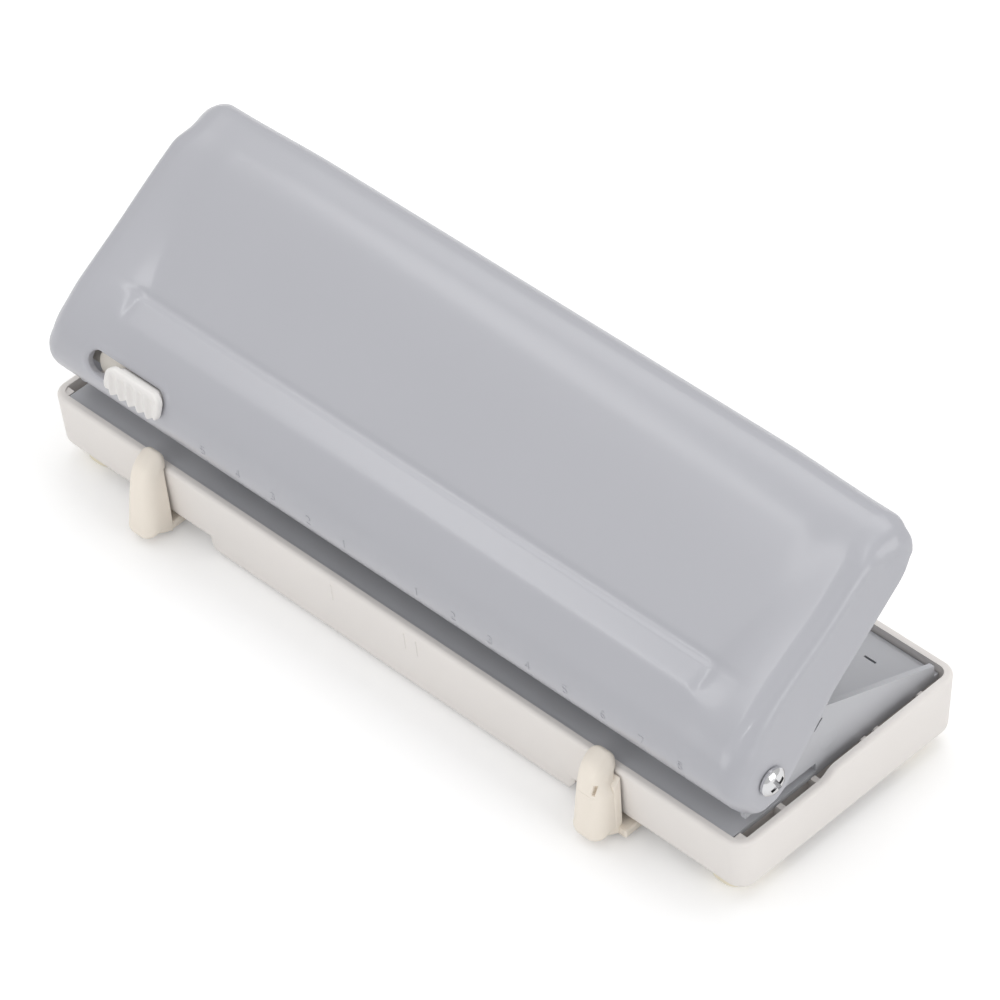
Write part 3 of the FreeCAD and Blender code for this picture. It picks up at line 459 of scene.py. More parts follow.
def rolled_outline(down):
    """The outline and its straight skirts, drawn in towards the lever's middle."""
    base = OUTLINE.copy()
    base[:, 1] = pressed(base[:, 0], base[:, 1], LEVER_HALF)
    base[:, 0] -= drawn_in(base[:, 0], LEVER_HALF)
    line = SPINE_BACK - SPINE_FRONT
    share = np.clip((base - SPINE_FRONT) @ line / (line @ line), 0.0, 1.0)
    way = SPINE_FRONT + share[:, None] * line - base
    way /= np.linalg.norm(way, axis=1)[:, None]
    moved = base + way * down[:, None]
    depth = np.linspace(SKIRT, 0.0, 60, endpoint=False)
    drop = depth[:, None] * np.array([0.0, -1.0])
    run = np.concatenate([-depth, OUTLINE_RUN, OUTLINE_RUN[-1] + depth[::-1]])
    return np.concatenate([moved[0] + drop, moved, moved[-1] + drop[::-1]]), run


def trimmed_run(curve, run):
    """Where a section starts and ends above the lever's lower edge."""
    above = curve[:, 1] >= lower_edge_height(curve[:, 0])
    inside = np.nonzero(above)[0]
    return run[inside[0]], run[inside[-1]]


def lever_rows():
    """Distances along the outline, closer together at the hem, the ledge and the tail."""
    first, last = trimmed_run(OUTLINE, OUTLINE_RUN)
    runs = np.linspace(first, last, 2000)
    s = np.interp(runs, OUTLINE_RUN, OUTLINE[:, 0])
    step = np.where(s < LEDGE_END, LEDGE_STEP, TOP_STEP)
    step = np.where((s < HEM_END) & (runs < first + HEM_RUN), HEM_STEP, step)
    step = np.where(s > TAIL_START, TAIL_STEP, step)
    count = np.concatenate([[0.0], np.cumsum(np.diff(runs) / step[1:])])
    parts = int(math.ceil(count[-1]))
    return np.interp(np.linspace(0.0, count[-1], parts + 1), count, runs)


def stepped(stops):
    """Places along a line: pairs of an end and the step used up to it."""
    places = [stops[0][0]]
    for end, step in stops[1:]:
        parts = max(1, int(round((end - places[-1]) / step)))
        places.extend(np.linspace(places[-1], end, parts + 1)[1:])
    return np.array(places)


def slot_local(points):
    """Lever places as seen from the slot: along, across and out."""
    cos, sin = math.cos(SLOT_TILT), math.sin(SLOT_TILT)
    s = points[..., 1] - SLOT_PLACE[0]
    n = points[..., 2] - SLOT_PLACE[1]
    return points[..., 0], s * cos + n * sin, n * cos - s * sin


def slot_relief(points):
    """Height to add, out of the slot, for its soft raised rim."""
    x, across, out = slot_local(points)
    dx = x - np.clip(x, SLOT_LEFT + SLOT_HALF, SLOT_RIGHT - SLOT_HALF)
    away = np.hypot(dx, across) - SLOT_HALF
    swell = SLOT_SWELL * np.exp(-((away - SWELL_PLACE) / SWELL_WIDTH) ** 2)
    inside = np.clip(SLOT_ROUNDING - away, 0.0, SLOT_ROUNDING)
    drop = SLOT_ROUNDING - np.sqrt(SLOT_ROUNDING ** 2 - inside ** 2)
    near = smooth_step((6.0 - np.abs(out)) / 4.0)
    return (swell - drop) * near


def end_columns(rows, s_mid, n_mid):
    """The columns of the right end: its margin, its soft and tight bends and its leaning wall."""
    first, last = rows[0], rows[-1]
    out, _ = end_profile(s_mid, WALL_TILT)
    start_x = LEVER_HALF - smooth_through(s_mid, END_LEAN) - out
    columns = []
    for i in range(1, MARGIN_STEPS + 1):
        x = FLAT_HALF + (start_x - FLAT_HALF) * i / MARGIN_STEPS
        columns.append(np.stack([x, s_mid - drawn_in(s_mid, x), pressed(s_mid, n_mid, x)], -1))
    soft = np.linspace(0.0, SOFT_TILT, SOFT_STEPS + 1)[1:]
    tight = np.linspace(SOFT_TILT, WALL_TILT, TIGHT_STEPS + 1)[1:]
    for tilt in np.concatenate([soft, [SOFT_TILT + 1e-6], tight]):
        out, _ = end_profile(s_mid, tilt)
        _, down = end_profile(OUTLINE[:, 0], tilt)
        curve, run = rolled_outline(down)
        start, end = trimmed_run(curve, run)
        shifted = rows + (start - first) * np.clip(1.0 - (rows - first) / SETTLE_RUN, 0.0, 1.0)
        shifted += (end - last) * np.clip(1.0 - (last - rows) / SETTLE_RUN, 0.0, 1.0)
        s = np.interp(shifted, run, curve[:, 0])
        n = np.interp(shifted, run, curve[:, 1])
        columns.append(np.stack([start_x + out, s, n], -1))
    top = columns[-1]
    share = run_along(top[:, 1:])
    share = share / share[-1]
    foot_s = top[0, 1] + (top[-1, 1] - top[0, 1]) * share
    foot = np.stack([top[:, 0], foot_s, lower_edge_height(foot_s)], -1)
    foot[0] = top[0]
    foot[-1] = top[-1]
    foot[:, 0] += (LEVER_HALF - top[:, 0]) * smooth_step((top[:, 2] - foot[:, 2]) / 5.0)
    for i in range(1, WALL_STEPS + 1):
        columns.append(top + (foot - top) * i / WALL_STEPS)
    return np.stack(columns, 1)


def lever_surface(rows, columns):
    """The outer surface as a grid: left wall, left bends, top, right bends, right wall."""
    s_mid = np.interp(rows, OUTLINE_RUN, OUTLINE[:, 0])
    n_mid = np.interp(rows, OUTLINE_RUN, OUTLINE[:, 1])
    x, s = np.meshgrid(columns, s_mid)
    middle = np.stack([x, s - drawn_in(s, x), pressed(s, n_mid[:, None], x)], -1)
    right = end_columns(rows, s_mid, n_mid)
    left = right[:, ::-1] * np.array([-1.0, 1.0, 1.0])
    grid = np.concatenate([left, middle, right], 1)
    relief = slot_relief(grid)
    grid[..., 1] -= relief * math.sin(SLOT_TILT)
    grid[..., 2] += relief * math.cos(SLOT_TILT)
    return grid


def grid_normals(grid):
    """Unit normals of a grid of places, pointing out of the lever."""
    along = np.gradient(grid, axis=0)
    across = np.gradient(grid, axis=1)
    normal = np.cross(across, along)
    size = np.linalg.norm(normal, axis=-1, keepdims=True)
    flat = size[..., 0] < 1e-6
    normal = normal / np.maximum(size, 1e-9)
    side = np.sign(grid[..., 0])
    normal[flat] = np.stack([side, np.zeros_like(side), np.zeros_like(side)], -1)[flat]
    for row in (0, -1):
        normal[row, :WALL_STEPS] = normal[row, WALL_STEPS]
        normal[row, -WALL_STEPS:] = normal[row, -WALL_STEPS - 1]
    return normal


def ring_sources(grid, ring):
    """For each border place the one whose direction it takes, where several of them meet."""
    middle = grid.shape[1] / 2.0
    keys = [tuple(np.round(grid[place], 5)) for place, _ in ring]
    best = {}
    for index, key in enumerate(keys):
        old = best.get(key)
        if old is None or abs(ring[index][0][1] - middle) < abs(ring[old][0][1] - middle):
            best[key] = index
    return [ring[best[key]] for key in keys]


def edge_ring(rows, columns):
    """The grid's border as (row, column) pairs in order, with the step inward at each."""
    ring = [((0, j), (1, j)) for j in range(columns)]
    ring += [((i, columns - 1), (i, columns - 2)) for i in range(1, rows)]
    ring += [((rows - 1, j), (rows - 2, j)) for j in range(columns - 2, -1, -1)]
    ring += [((i, 0), (i, 1)) for i in range(rows - 2, 0, -1)]
    return ring


def shell_from_grid(grid, thickness, rim):
    """Points and faces of a closed sheet: outer grid, inner grid and a rounded rim."""
    rows, columns = grid.shape[:2]
    normal = grid_normals(grid)
    inner = grid - normal * thickness
    count = rows * columns
    points = [grid.reshape(-1, 3), inner.reshape(-1, 3)]
    faces = []
    for i in range(rows - 1):
        for j in range(columns - 1):
            a = i * columns + j
            quad = (a, a + 1, a + columns + 1, a + columns)
            faces.append(quad[::-1])
            faces.append(tuple(count + q for q in quad))
    ring = edge_ring(rows, columns)
    steps = [(math.sin(t), 1.0 - math.cos(t)) for t in (math.pi / 6.0, math.pi / 3.0, math.pi / 2.0)]
    profile = [(rim * a, rim * b) for a, b in steps]
    profile += [(rim * a, thickness - rim * b) for a, b in reversed(steps)]
    sources = ring_sources(grid, ring)
    lines = []
    start = 2 * count
    for reach, depth in profile:
        line = []
        for (i, j), (k, m) in sources:
            way = grid[i, j] - grid[k, m]
            size = np.linalg.norm(way)
            if size < 1e-6:
                way = np.array([0.0, 0.0, -1.0])
                size = 1.0
            line.append(grid[i, j] + way / size * reach - normal[i, j] * depth)
        lines.append(list(range(start, start + len(line))))
        points.append(np.array(line))
        start += len(line)
    outer_line = [i * columns + j for (i, j), _ in ring]
    inner_line = [count + v for v in outer_line]
    loops = [outer_line] + lines + [inner_line]
    size = len(ring)
    for first, second in zip(loops[:-1], loops[1:]):
        for k in range(size):
            m = (k + 1) % size
            faces.append((first[k], first[m], second[m], second[k]))
    return np.concatenate(points), faces


def slot_to_world(points):
    """Places given along, across and out of the slot, turned with the open lever."""
    cos, sin = math.cos(SLOT_TILT), math.sin(SLOT_TILT)
    x, across, out = points[..., 0], points[..., 1], points[..., 2]
    s = SLOT_PLACE[0] + across * cos - out * sin
    n = SLOT_PLACE[1] + across * sin + out * cos
    return lever_to_world(np.stack([x, s, n], -1))


def slot_prism(name, x0, x1, half, low, high):
    """A flat prism with round ends, set at the slot's place in the open lever."""
    ring = arc((x1 - half, 0.0), half, -90.0, 90.0, 25) + arc((x0 + half, 0.0), half, 90.0, 270.0, 25)
    points = np.array([(x, across, out) for out in (low, high) for x, across in ring])
    return mesh_object(name, slot_to_world(points), tube_faces(2, len(ring)))


def cut(obj, cutter):
    """Takes the cutter's shape out of a mesh, and the cutter away."""
    change = obj.modifiers.new("cut", "BOOLEAN")
    change.operation = "DIFFERENCE"
    change.solver = "EXACT"
    change.object = cutter
    graph = bpy.context.evaluated_depsgraph_get()
    result = bpy.data.meshes.new_from_object(obj.evaluated_get(graph))
    obj.modifiers.clear()
    obj.data = result
    bpy.data.objects.remove(cutter)


def merge_doubles(obj, gap=2.0 * WELD):
    """Joins places that meet and turns the faces outward."""
    work = opened(obj)
    bmesh.ops.remove_doubles(work, verts=work.verts, dist=gap / METRE)
    bmesh.ops.recalc_face_normals(work, faces=work.faces)
    written(work, obj)


def lever_shell():
    """The lever's pressed cover with the lock's slot."""
    grid = lever_surface(lever_rows(), stepped(LEVER_COLUMNS))
    points, faces = shell_from_grid(grid, SHEET, RIM_RADIUS)
    shell = mesh_object("lever_cover", lever_to_world(points), faces)
    merge_doubles(shell)
    cut(shell, slot_prism("slot_cutter", SLOT_LEFT, SLOT_RIGHT, SLOT_HALF, -4.0, 6.0))
    shade(shell)
    dress(shell, "lever", "lever_paint", "lever")


# Finishes.

def empty_tree(owner):
    """The node tree of a material or world, with nothing in it."""
    owner.use_nodes = True
    owner.node_tree.nodes.clear()
    return owner.node_tree


def add(tree, kind, **values):
    """A new node, with values set on its sockets."""
    node = tree.nodes.new("ShaderNode" + kind)
    for socket, value in values.items():
        node.inputs[socket.replace("_", " ")].default_value = value
    return node


def noise(tree, scale, detail, roughness=0.5, stretch=(1.0, 1.0, 1.0)):
    """Noise fixed to the piece, by its own coordinates."""
    place = add(tree, "TexCoord")
    mapping = add(tree, "Mapping", Scale=stretch)
    texture = add(tree, "TexNoise", Scale=scale, Detail=detail, Roughness=roughness)
    tree.links.new(place.outputs["Object"], mapping.inputs["Vector"])
    tree.links.new(mapping.outputs["Vector"], texture.inputs["Vector"])
    return texture.outputs["Fac"]


def ramp(tree, source, low, high):
    """A colour that runs from low to high over the middle of a source."""
    node = add(tree, "ValToRGB")
    node.color_ramp.elements[0].position = 0.35
    node.color_ramp.elements[1].position = 0.65
    node.color_ramp.elements[0].color = (*low, 1.0)
    node.color_ramp.elements[1].color = (*high, 1.0)
    tree.links.new(source, node.inputs["Fac"])
    return node.outputs["Color"]


def spread(tree, source, low, high):
    """A source from 0 to 1 spread over another range."""
    node = add(tree, "MapRange", To_Min=low, To_Max=high)
    tree.links.new(source, node.inputs["Value"])
    return node.outputs["Result"]


def bump(tree, shader, source, depth):
    """Fine relief, with its depth in millimetres."""
    node = add(tree, "Bump", Strength=1.0, Distance=depth / METRE)
    tree.links.new(source, node.inputs["Height"])
    tree.links.new(node.outputs["Normal"], shader.inputs["Normal"])


def finish(slot, colour, change, rough, grain, relief, metallic=0.0, coat=0.0, stretch=(1.0, 1.0, 1.0),
           gloss=0.2):
    """One finish: a colour that drifts by a share, a range of roughness and a fine grain."""
    tree = empty_tree(bpy.data.materials[slot])
    output = add(tree, "OutputMaterial")
    shader = add(tree, "BsdfPrincipled", Metallic=metallic, Coat_Weight=coat, Coat_Roughness=gloss)
    tree.links.new(shader.outputs["BSDF"], output.inputs["Surface"])
    drift = noise(tree, DRIFT_SCALE, 2.0)
    low = [c * (1.0 - change) for c in colour]
    high = [min(1.0, c * (1.0 + change)) for c in colour]
    tree.links.new(ramp(tree, drift, low, high), shader.inputs["Base Color"])
    fine = noise(tree, grain, 4.0, 0.6, stretch)
    tree.links.new(spread(tree, fine, rough[0], rough[1]), shader.inputs["Roughness"])
    bump(tree, shader, fine, relief)


def finishes():
    """Every finish: colour, its drift, roughness, grain and relief."""
    finish("tray_cream", (0.81, 0.775, 0.745), 0.012, (0.42, 0.52), 900.0, 0.004)
    finish("foot_cream", (0.84, 0.78, 0.63), 0.02, (0.55, 0.65), 900.0, 0.004)
    finish("guide_cream", (0.90, 0.83, 0.735), 0.012, (0.38, 0.48), 900.0, 0.003)
    finish("bolt_cream", (0.72, 0.68, 0.62), 0.012, (0.4, 0.5), 900.0, 0.003)
    finish("knob_white", (0.82, 0.80, 0.78), 0.01, (0.3, 0.4), 900.0, 0.002)
    finish("grey_paint", (0.49, 0.495, 0.52), 0.01, (0.3, 0.38), 700.0, 0.003, coat=0.15)
    finish("lever_paint", (0.44, 0.443, 0.477), 0.004, (0.36, 0.4), 500.0, 0.0006, coat=0.55, gloss=0.17)
    finish("chrome", (0.78, 0.78, 0.79), 0.03, (0.08, 0.16), 1500.0, 0.002, metallic=1.0)
    along = (0.05, 1.0, 1.0)
    finish("zinc_steel", (0.62, 0.63, 0.64), 0.05, (0.3, 0.45), 1200.0, 0.003, 1.0, stretch=along)
    finish("ground_steel", (0.66, 0.66, 0.67), 0.03, (0.15, 0.3), 1500.0, 0.002, 1.0, stretch=(1, 1, 0.05))
    finish("spring_steel", (0.5, 0.5, 0.52), 0.05, (0.25, 0.4), 1500.0, 0.002, 1.0)
    finish("unit_steel", (0.5, 0.505, 0.52), 0.05, (0.35, 0.5), 900.0, 0.004, 1.0)
    finish("brass_bush", (0.72, 0.52, 0.25), 0.05, (0.25, 0.4), 900.0, 0.003, 1.0, stretch=along)


# The other pieces.

def soften(obj, width, segments=3, angle=40.0):
    """Rounds the edges at which a piece turns by more than an angle."""
    change = obj.modifiers.new("edges", "BEVEL")
    change.width = width / METRE
    change.segments = segments
    change.limit_method = "ANGLE"
    change.angle_limit = math.radians(angle)


def closed(obj):
    """Joins what meets, drops empty faces and turns the faces outward."""
    work = opened(obj)
    bmesh.ops.remove_doubles(work, verts=work.verts, dist=1.5 * WELD / METRE)
    bmesh.ops.dissolve_degenerate(work, edges=work.edges, dist=WELD / METRE)
    if work.calc_volume(signed=True) < 0.0:
        bmesh.ops.reverse_faces(work, faces=work.faces)
    written(work, obj)


def kept_side(obj, place, way):
    """Keeps what lies past a plane, on the side it faces, and closes the opening."""
    work = opened(obj)
    bmesh.ops.remove_doubles(work, verts=work.verts, dist=WELD / METRE)
    everything = list(work.verts) + list(work.edges) + list(work.faces)
    bmesh.ops.bisect_plane(work, geom=everything, plane_co=Vector(place) / METRE, plane_no=way,
                           clear_inner=True)
    bmesh.ops.edgeloop_fill(work, edges=[edge for edge in work.edges if edge.is_boundary])
    written(work, obj)
    closed(obj)


def swept(name, profile, reach, way, x0, x1, narrow=None, left_share=1.0):
    """A side outline (y, z) run along X, rounded at both ends by each place's own reach."""
    centre = (x0 + x1) / 2.0
    half = (x1 - x0) / 2.0
    widest = min(float(reach.max()), half)
    turn = np.radians(np.linspace(0.0, 90.0, 13))
    ahead = half - widest + widest * np.sin(turn)
    behind = half - widest * left_share * (1.0 - np.sin(turn))
    offsets = np.concatenate([-behind[::-1], np.linspace(-behind[0], ahead[0], 8)[1:-1], ahead])
    points = []
    for offset in offsets:
        radius = reach * (left_share if offset < 0.0 else 1.0)
        into = np.clip(abs(offset) - (half - radius), 0.0, radius)
        inset = radius - np.sqrt(np.maximum(radius ** 2 - into ** 2, 0.0))
        section = profile + way * inset[:, None]
        x = np.full(len(profile), centre + offset)
        if narrow is not None:
            x = centre + offset * narrow(section[:, 1], offset)
        points.append(np.column_stack([x, section]))
    faces = tube_faces(len(offsets), len(profile), outward=False)
    obj = mesh_object(name, np.concatenate(points), faces)
    closed(obj)
    return obj


def guide_outline():
    """The side outline of a guide's column and hook, with its reach and way at each place."""
    corners = arc((GUIDE_FRONT + GUIDE_TOE, GUIDE_LOW + GUIDE_TOE), GUIDE_TOE, 270.0, 180.0)
    corners += [tuple(place) for place in spline(GUIDE_FACE, 40)[1:]]
    corners += arc((GUIDE_HOOK - HOOK_RADIUS, GUIDE_TOP - HOOK_RADIUS), HOOK_RADIUS, 90.0, 0.0)[1:]
    corners += [(GUIDE_HOOK, HOOK_UNDER), (GUIDE_BACK, HOOK_UNDER), (GUIDE_BACK, GUIDE_LOW)]
    profile = dense(corners, GUIDE_STEP)
    line = GUIDE_SPINE[1] - GUIDE_SPINE[0]
    share = np.clip((profile - GUIDE_SPINE[0]) @ line / (line @ line), 0.0, 1.0)
    way = GUIDE_SPINE[0] + share[:, None] * line - profile
    way /= np.linalg.norm(way, axis=1)[:, None]
    reach = np.full(len(profile), GUIDE_REACH)
    back = (profile[:, 0] > GUIDE_BACK - 0.01) & (profile[:, 1] < HOOK_UNDER + 0.01)
    way[back] = (-1.0, 0.0)
    reach[back] = SEAT_REACH
    low = profile[:, 1] < GUIDE_LOW + 0.3
    share = smooth_step((GUIDE_BACK - 0.6 - profile[low, 0]) / 4.0)
    reach[low] = LOW_REACH + (GUIDE_REACH - LOW_REACH) * share
    hook = profile[:, 0] > GUIDE_BACK + 0.01
    way[hook] = (np.array([GUIDE_BACK - SEAT_REACH, HOOK_UNDER]) - profile[hook]) / GUIDE_REACH
    reach[hook] = GUIDE_REACH
    return profile, reach, way


def guide_flange(name, body, span):
    """The foot of a guide that runs back under the tray, with its bead."""
    front = GUIDE_BACK - 1.0
    top = GUIDE_LOW + FLANGE_SHEET
    corners = [(front, GUIDE_LOW)]
    corners += arc((FLANGE_BACK - FLANGE_EDGE, GUIDE_LOW + FLANGE_EDGE), FLANGE_EDGE, 270.0, 360.0)
    corners += arc((FLANGE_BACK - FLANGE_EDGE, top - FLANGE_EDGE), FLANGE_EDGE, 0.0, 90.0)
    corners += arc((FLANGE_BACK + BEAD_PLACE, top), BEAD_RADIUS, 0.0, 180.0) + [(front, top)]
    profile = dense(corners, GUIDE_STEP)
    inward = np.array([(front + FLANGE_BACK) / 2.0, (GUIDE_LOW + top) / 2.0]) - profile
    way = np.sign(inward) * (np.abs(inward) > FLANGE_CORE)
    flange = swept(name, profile, np.full(len(profile), SEAT_REACH), way, *span)
    shade(flange)
    dress(flange, body, "guide_cream")


def plain_box(name, low, high):
    """A box between two corners, used to cut with."""
    points = [(x, y, z) for x in (low[0], high[0]) for y in (low[1], high[1]) for z in (low[2], high[2])]
    faces = [(0, 1, 3, 2), (4, 6, 7, 5), (0, 4, 5, 1), (2, 3, 7, 6), (0, 2, 6, 4), (1, 5, 7, 3)]
    return mesh_object(name, points, faces)


def leaning(amount, start, run):
    """Narrows a guide's right-hand side by a share over a run of height, and its left a little."""
    def narrow(z, offset):
        if offset < 0.0:
            return 1.0 - LEFT_LEAN * smooth_step((z - 3.0) / 16.0)
        return 1.0 - amount * smooth_step((z - start) / run)
    return narrow


def left_guide():
    """The plain clip on the left of the tray's front."""
    profile, reach, way = guide_outline()
    column = swept("guide_left_column", profile, reach, way, *LEFT_GUIDE, leaning(0.3, 1.0, 19.0), 0.75)
    shade(column)
    dress(column, "guide_left_body", "guide_cream", "guide_left")
    guide_flange("guide_left_flange", "guide_left_body", LEFT_FLANGE)


def right_guide():
    """The guide on the right: its body, its notched cap and the clip plate beside them."""
    profile, reach, way = guide_outline()
    lean = leaning(0.05, 1.0, 19.0)
    column = swept("guide_right_column", profile, reach, way, *RIGHT_GUIDE, lean, 0.9)
    kept_side(column, (0.0, 0.0, CAP_PLANE), (0.0, 0.0, -1.0))
    soften(column, 0.35)
    shade(column)
    dress(column, "guide_right_body", "guide_cream", "guide_right")
    guide_flange("guide_right_flange", "guide_right_body", RIGHT_FLANGE)

    shoulder = leaning(0.36, CAP_PLANE - 0.2, 3.6)
    hood = swept("guide_right_hood", profile, reach, way, *RIGHT_GUIDE, shoulder, 0.9)
    kept_side(hood, (0.0, 0.0, CAP_PLANE + 0.05), (0.0, 0.0, 1.0))
    cut(hood, plain_box("notch", *CAP_NOTCH))
    soften(hood, 0.12, 2)
    shade(hood)
    dress(hood, "guide_right_body", "guide_cream", "guide_right_cap")

    outline = np.array([(CLIP_FRONT, CLIP_LOW), (GUIDE_BACK, CLIP_LOW), (GUIDE_BACK, 15.9),
                        (CLIP_FRONT, 14.6)])
    way = np.sign(outline.mean(0) - outline)
    clip = swept("guide_right_clip", outline, np.full(len(outline), CLIP_REACH), way, *CLIP_SPAN)
    shade(clip)
    dress(clip, "guide_right_body", "guide_cream")


def quarter_round(radius, away):
    """How far a rounded end has fallen back, at a distance from its tip."""
    into = min(max(radius - away, 0.0), radius)
    return radius - math.sqrt(max(radius ** 2 - into ** 2, 0.0))


def knob_section(x, turns):
    """One section of the ribbed knob at a place along the slot."""
    cos, sin = np.cos(turns), np.sin(turns)
    share = np.sign(cos) * np.abs(cos) ** KNOB_SIDE_POWER
    rise = np.sign(sin) * np.abs(sin) ** KNOB_TOP_POWER
    edge = min(x - KNOB_LEFT, KNOB_RIGHT - x)
    trim = quarter_round(KNOB_END, edge)
    sink = quarter_round(KNOB_EDGE, edge)
    low, high = KNOB_LOW + trim, KNOB_HIGH - trim
    across = (low + high) / 2.0 + share * (high - low) / 2.0
    middle = (KNOB_BASE + KNOB_TOP) / 2.0
    out = middle + rise * ((KNOB_TOP - KNOB_BASE) / 2.0 - sink)
    place = (x + RIB_SLANT * across - KNOB_LEFT) / RIB_PITCH
    valley = np.abs(np.cos(math.pi * place)) ** RIB_POWER
    ribbed = smooth_step((RIBS_TOP - across) / RIBS_FADE) * smooth_step((edge - 0.5) / 1.2)
    upper = smooth_step((rise + 0.6) / 1.0)
    out = out - RIB_DEPTH * valley * ribbed * upper
    across = across + RIB_BULGE * valley * ribbed * smooth_step((-1.6 - across) / 1.6)
    out = out - KNOB_STOOP * smooth_step((-across - 0.5) / 3.0) * upper
    return np.column_stack([np.full(len(turns), x), across, out])


def lock_knob():
    """The ribbed knob, and its neck through the slot."""
    turns = np.linspace(0.0, 2.0 * math.pi, 97)[:-1]
    ends = KNOB_TAPER * (1.0 - np.cos(np.radians(np.linspace(0.0, 90.0, 14))))
    middle = np.linspace(KNOB_LEFT + KNOB_TAPER, KNOB_RIGHT - KNOB_TAPER, 110)[1:-1]
    places = np.concatenate([KNOB_LEFT + ends, middle, KNOB_RIGHT - ends[::-1]])
    sections = np.stack([knob_section(x, turns) for x in places])
    faces = tube_faces(len(places), len(turns), outward=False)
    knob = mesh_object("lock_grip", slot_to_world(sections).reshape(-1, 3), faces)
    merge_doubles(knob)
    shade(knob, math.radians(50.0))
    dress(knob, "lock", "knob_white", "lock_knob")
    neck = slot_prism("lock_neck", KNOB_LEFT + 0.9, SLOT_RIGHT - 0.4, NECK_HALF, -1.0, 1.2)
    shade(neck)
    dress(neck, "lock", "knob_white")


# Strokes of plain numerals in a cell one wide and DIGIT_CELL high.
NUMERALS = {
    1: [[(0.25, 1.25), (0.55, 1.6), (0.55, 0.0)]],
    2: [[(0.0, 1.25), (0.2, 1.55), (0.7, 1.55), (0.95, 1.2), (0.8, 0.8), (0.0, 0.0), (1.0, 0.0)]],
    3: [[(0.0, 1.4), (0.3, 1.6), (0.75, 1.55), (0.9, 1.2), (0.7, 0.88), (0.4, 0.85)],
        [(0.7, 0.85), (0.95, 0.5), (0.8, 0.1), (0.35, 0.0), (0.0, 0.2)]],
    4: [[(0.75, 0.0), (0.75, 1.6), (0.0, 0.45), (1.0, 0.45)]],
    5: [[(0.9, 1.6), (0.15, 1.6), (0.1, 0.9), (0.6, 1.0), (0.95, 0.65), (0.85, 0.15), (0.4, 0.0),
         (0.0, 0.15)]],
    6: [[(0.85, 1.5), (0.5, 1.6), (0.12, 1.1), (0.05, 0.45), (0.35, 0.0), (0.75, 0.05), (0.95, 0.45),
         (0.7, 0.85), (0.3, 0.85), (0.06, 0.55)]],
    7: [[(0.0, 1.6), (1.0, 1.6), (0.35, 0.0)]],
    8: [[(0.5, 0.87), (0.12, 1.2), (0.3, 1.58), (0.7, 1.58), (0.88, 1.2), (0.5, 0.87), (0.02, 0.45),
         (0.25, 0.02), (0.75, 0.02), (0.98, 0.45), (0.5, 0.87)]],
}


def hem_place(x, run, height):
    """A place on the hem, or above it, by its distance along the outline."""
    s = np.interp(run, OUTLINE_RUN, OUTLINE[:, 0])
    n = np.interp(run, OUTLINE_RUN, OUTLINE[:, 1])
    ds = np.interp(run + 0.1, OUTLINE_RUN, OUTLINE[:, 0]) - s
    dn = np.interp(run + 0.1, OUTLINE_RUN, OUTLINE[:, 1]) - n
    size = math.hypot(ds, dn)
    return (x, s - dn / size * height, n + ds / size * height)


def rib(points, faces, line, place):
    """A thin raised stroke along a line of places, added to points and faces."""
    line = dense(line, MARK_STEP, around=False)
    start = len(points)
    across = np.gradient(line, axis=0)
    across /= np.linalg.norm(across, axis=1)[:, None]
    across = np.column_stack([-across[:, 1], across[:, 0]]) * MARK_WIDTH / 2.0
    shape = [(-1.0, -0.1), (-0.6, MARK_HEIGHT), (0.6, MARK_HEIGHT), (1.0, -0.1)]
    for spot, side in zip(line, across):
        for share, height in shape:
            points.append(place(*(spot + side * share), height))
    faces.extend(tube_faces(len(line), len(shape), start))


def ruler():
    """Plain numerals and ticks raised on the hem, every ten millimetres from a middle."""
    points, faces = [], []
    hem = OUTLINE[:, 0] < 0.0
    numerals_at = np.interp(DIGIT_PLACE, OUTLINE[hem, 0], OUTLINE_RUN[hem])
    ticks_at = np.interp(TICK_PLACE, OUTLINE[hem, 0], OUTLINE_RUN[hem])
    scale = DIGIT_SIZE / DIGIT_CELL
    for count in range(-5, 9):
        x = RULER_ZERO + RULER_PITCH * count
        tick = x + TICK_SHIFT
        rib(points, faces, [(tick, ticks_at - TICK_LENGTH), (tick, ticks_at)], hem_place)
        for stroke in NUMERALS.get(abs(count), []):
            line = [(x + (a - 0.5) * scale, numerals_at + (b - DIGIT_CELL / 2.0) * scale) for a, b in stroke]
            rib(points, faces, line, hem_place)
    marks = mesh_object("ruler_marks", lever_to_world(points), faces)
    merge_doubles(marks, 0.0005)
    shade(marks, math.radians(60.0))
    dress(marks, "lever", "lever_paint")


def tray_ticks():
    """Three short raised lines on the tray's front."""
    data = frame["nodes"]["tray"].data
    tray = BVHTree.FromPolygons([v.co.copy() for v in data.vertices],
                                [tuple(polygon.vertices) for polygon in data.polygons])

    def on_front(x, z, height):
        """A place on the tray's front, or before it."""
        place, normal, _, _ = tray.ray_cast(Vector((x, -60.0, z)) / METRE, Vector((0.0, 1.0, 0.0)))
        return tuple(place * METRE + normal * height)

    points, faces = [], []
    for x in TRAY_TICKS:
        rib(points, faces, [(x, z) for z in TRAY_TICK_SPAN], on_front)
    ticks = mesh_object("tray_ticks", points, faces)
    merge_doubles(ticks, 0.0005)
    shade(ticks, math.radians(60.0))
    dress(ticks, "tray", "tray_cream")


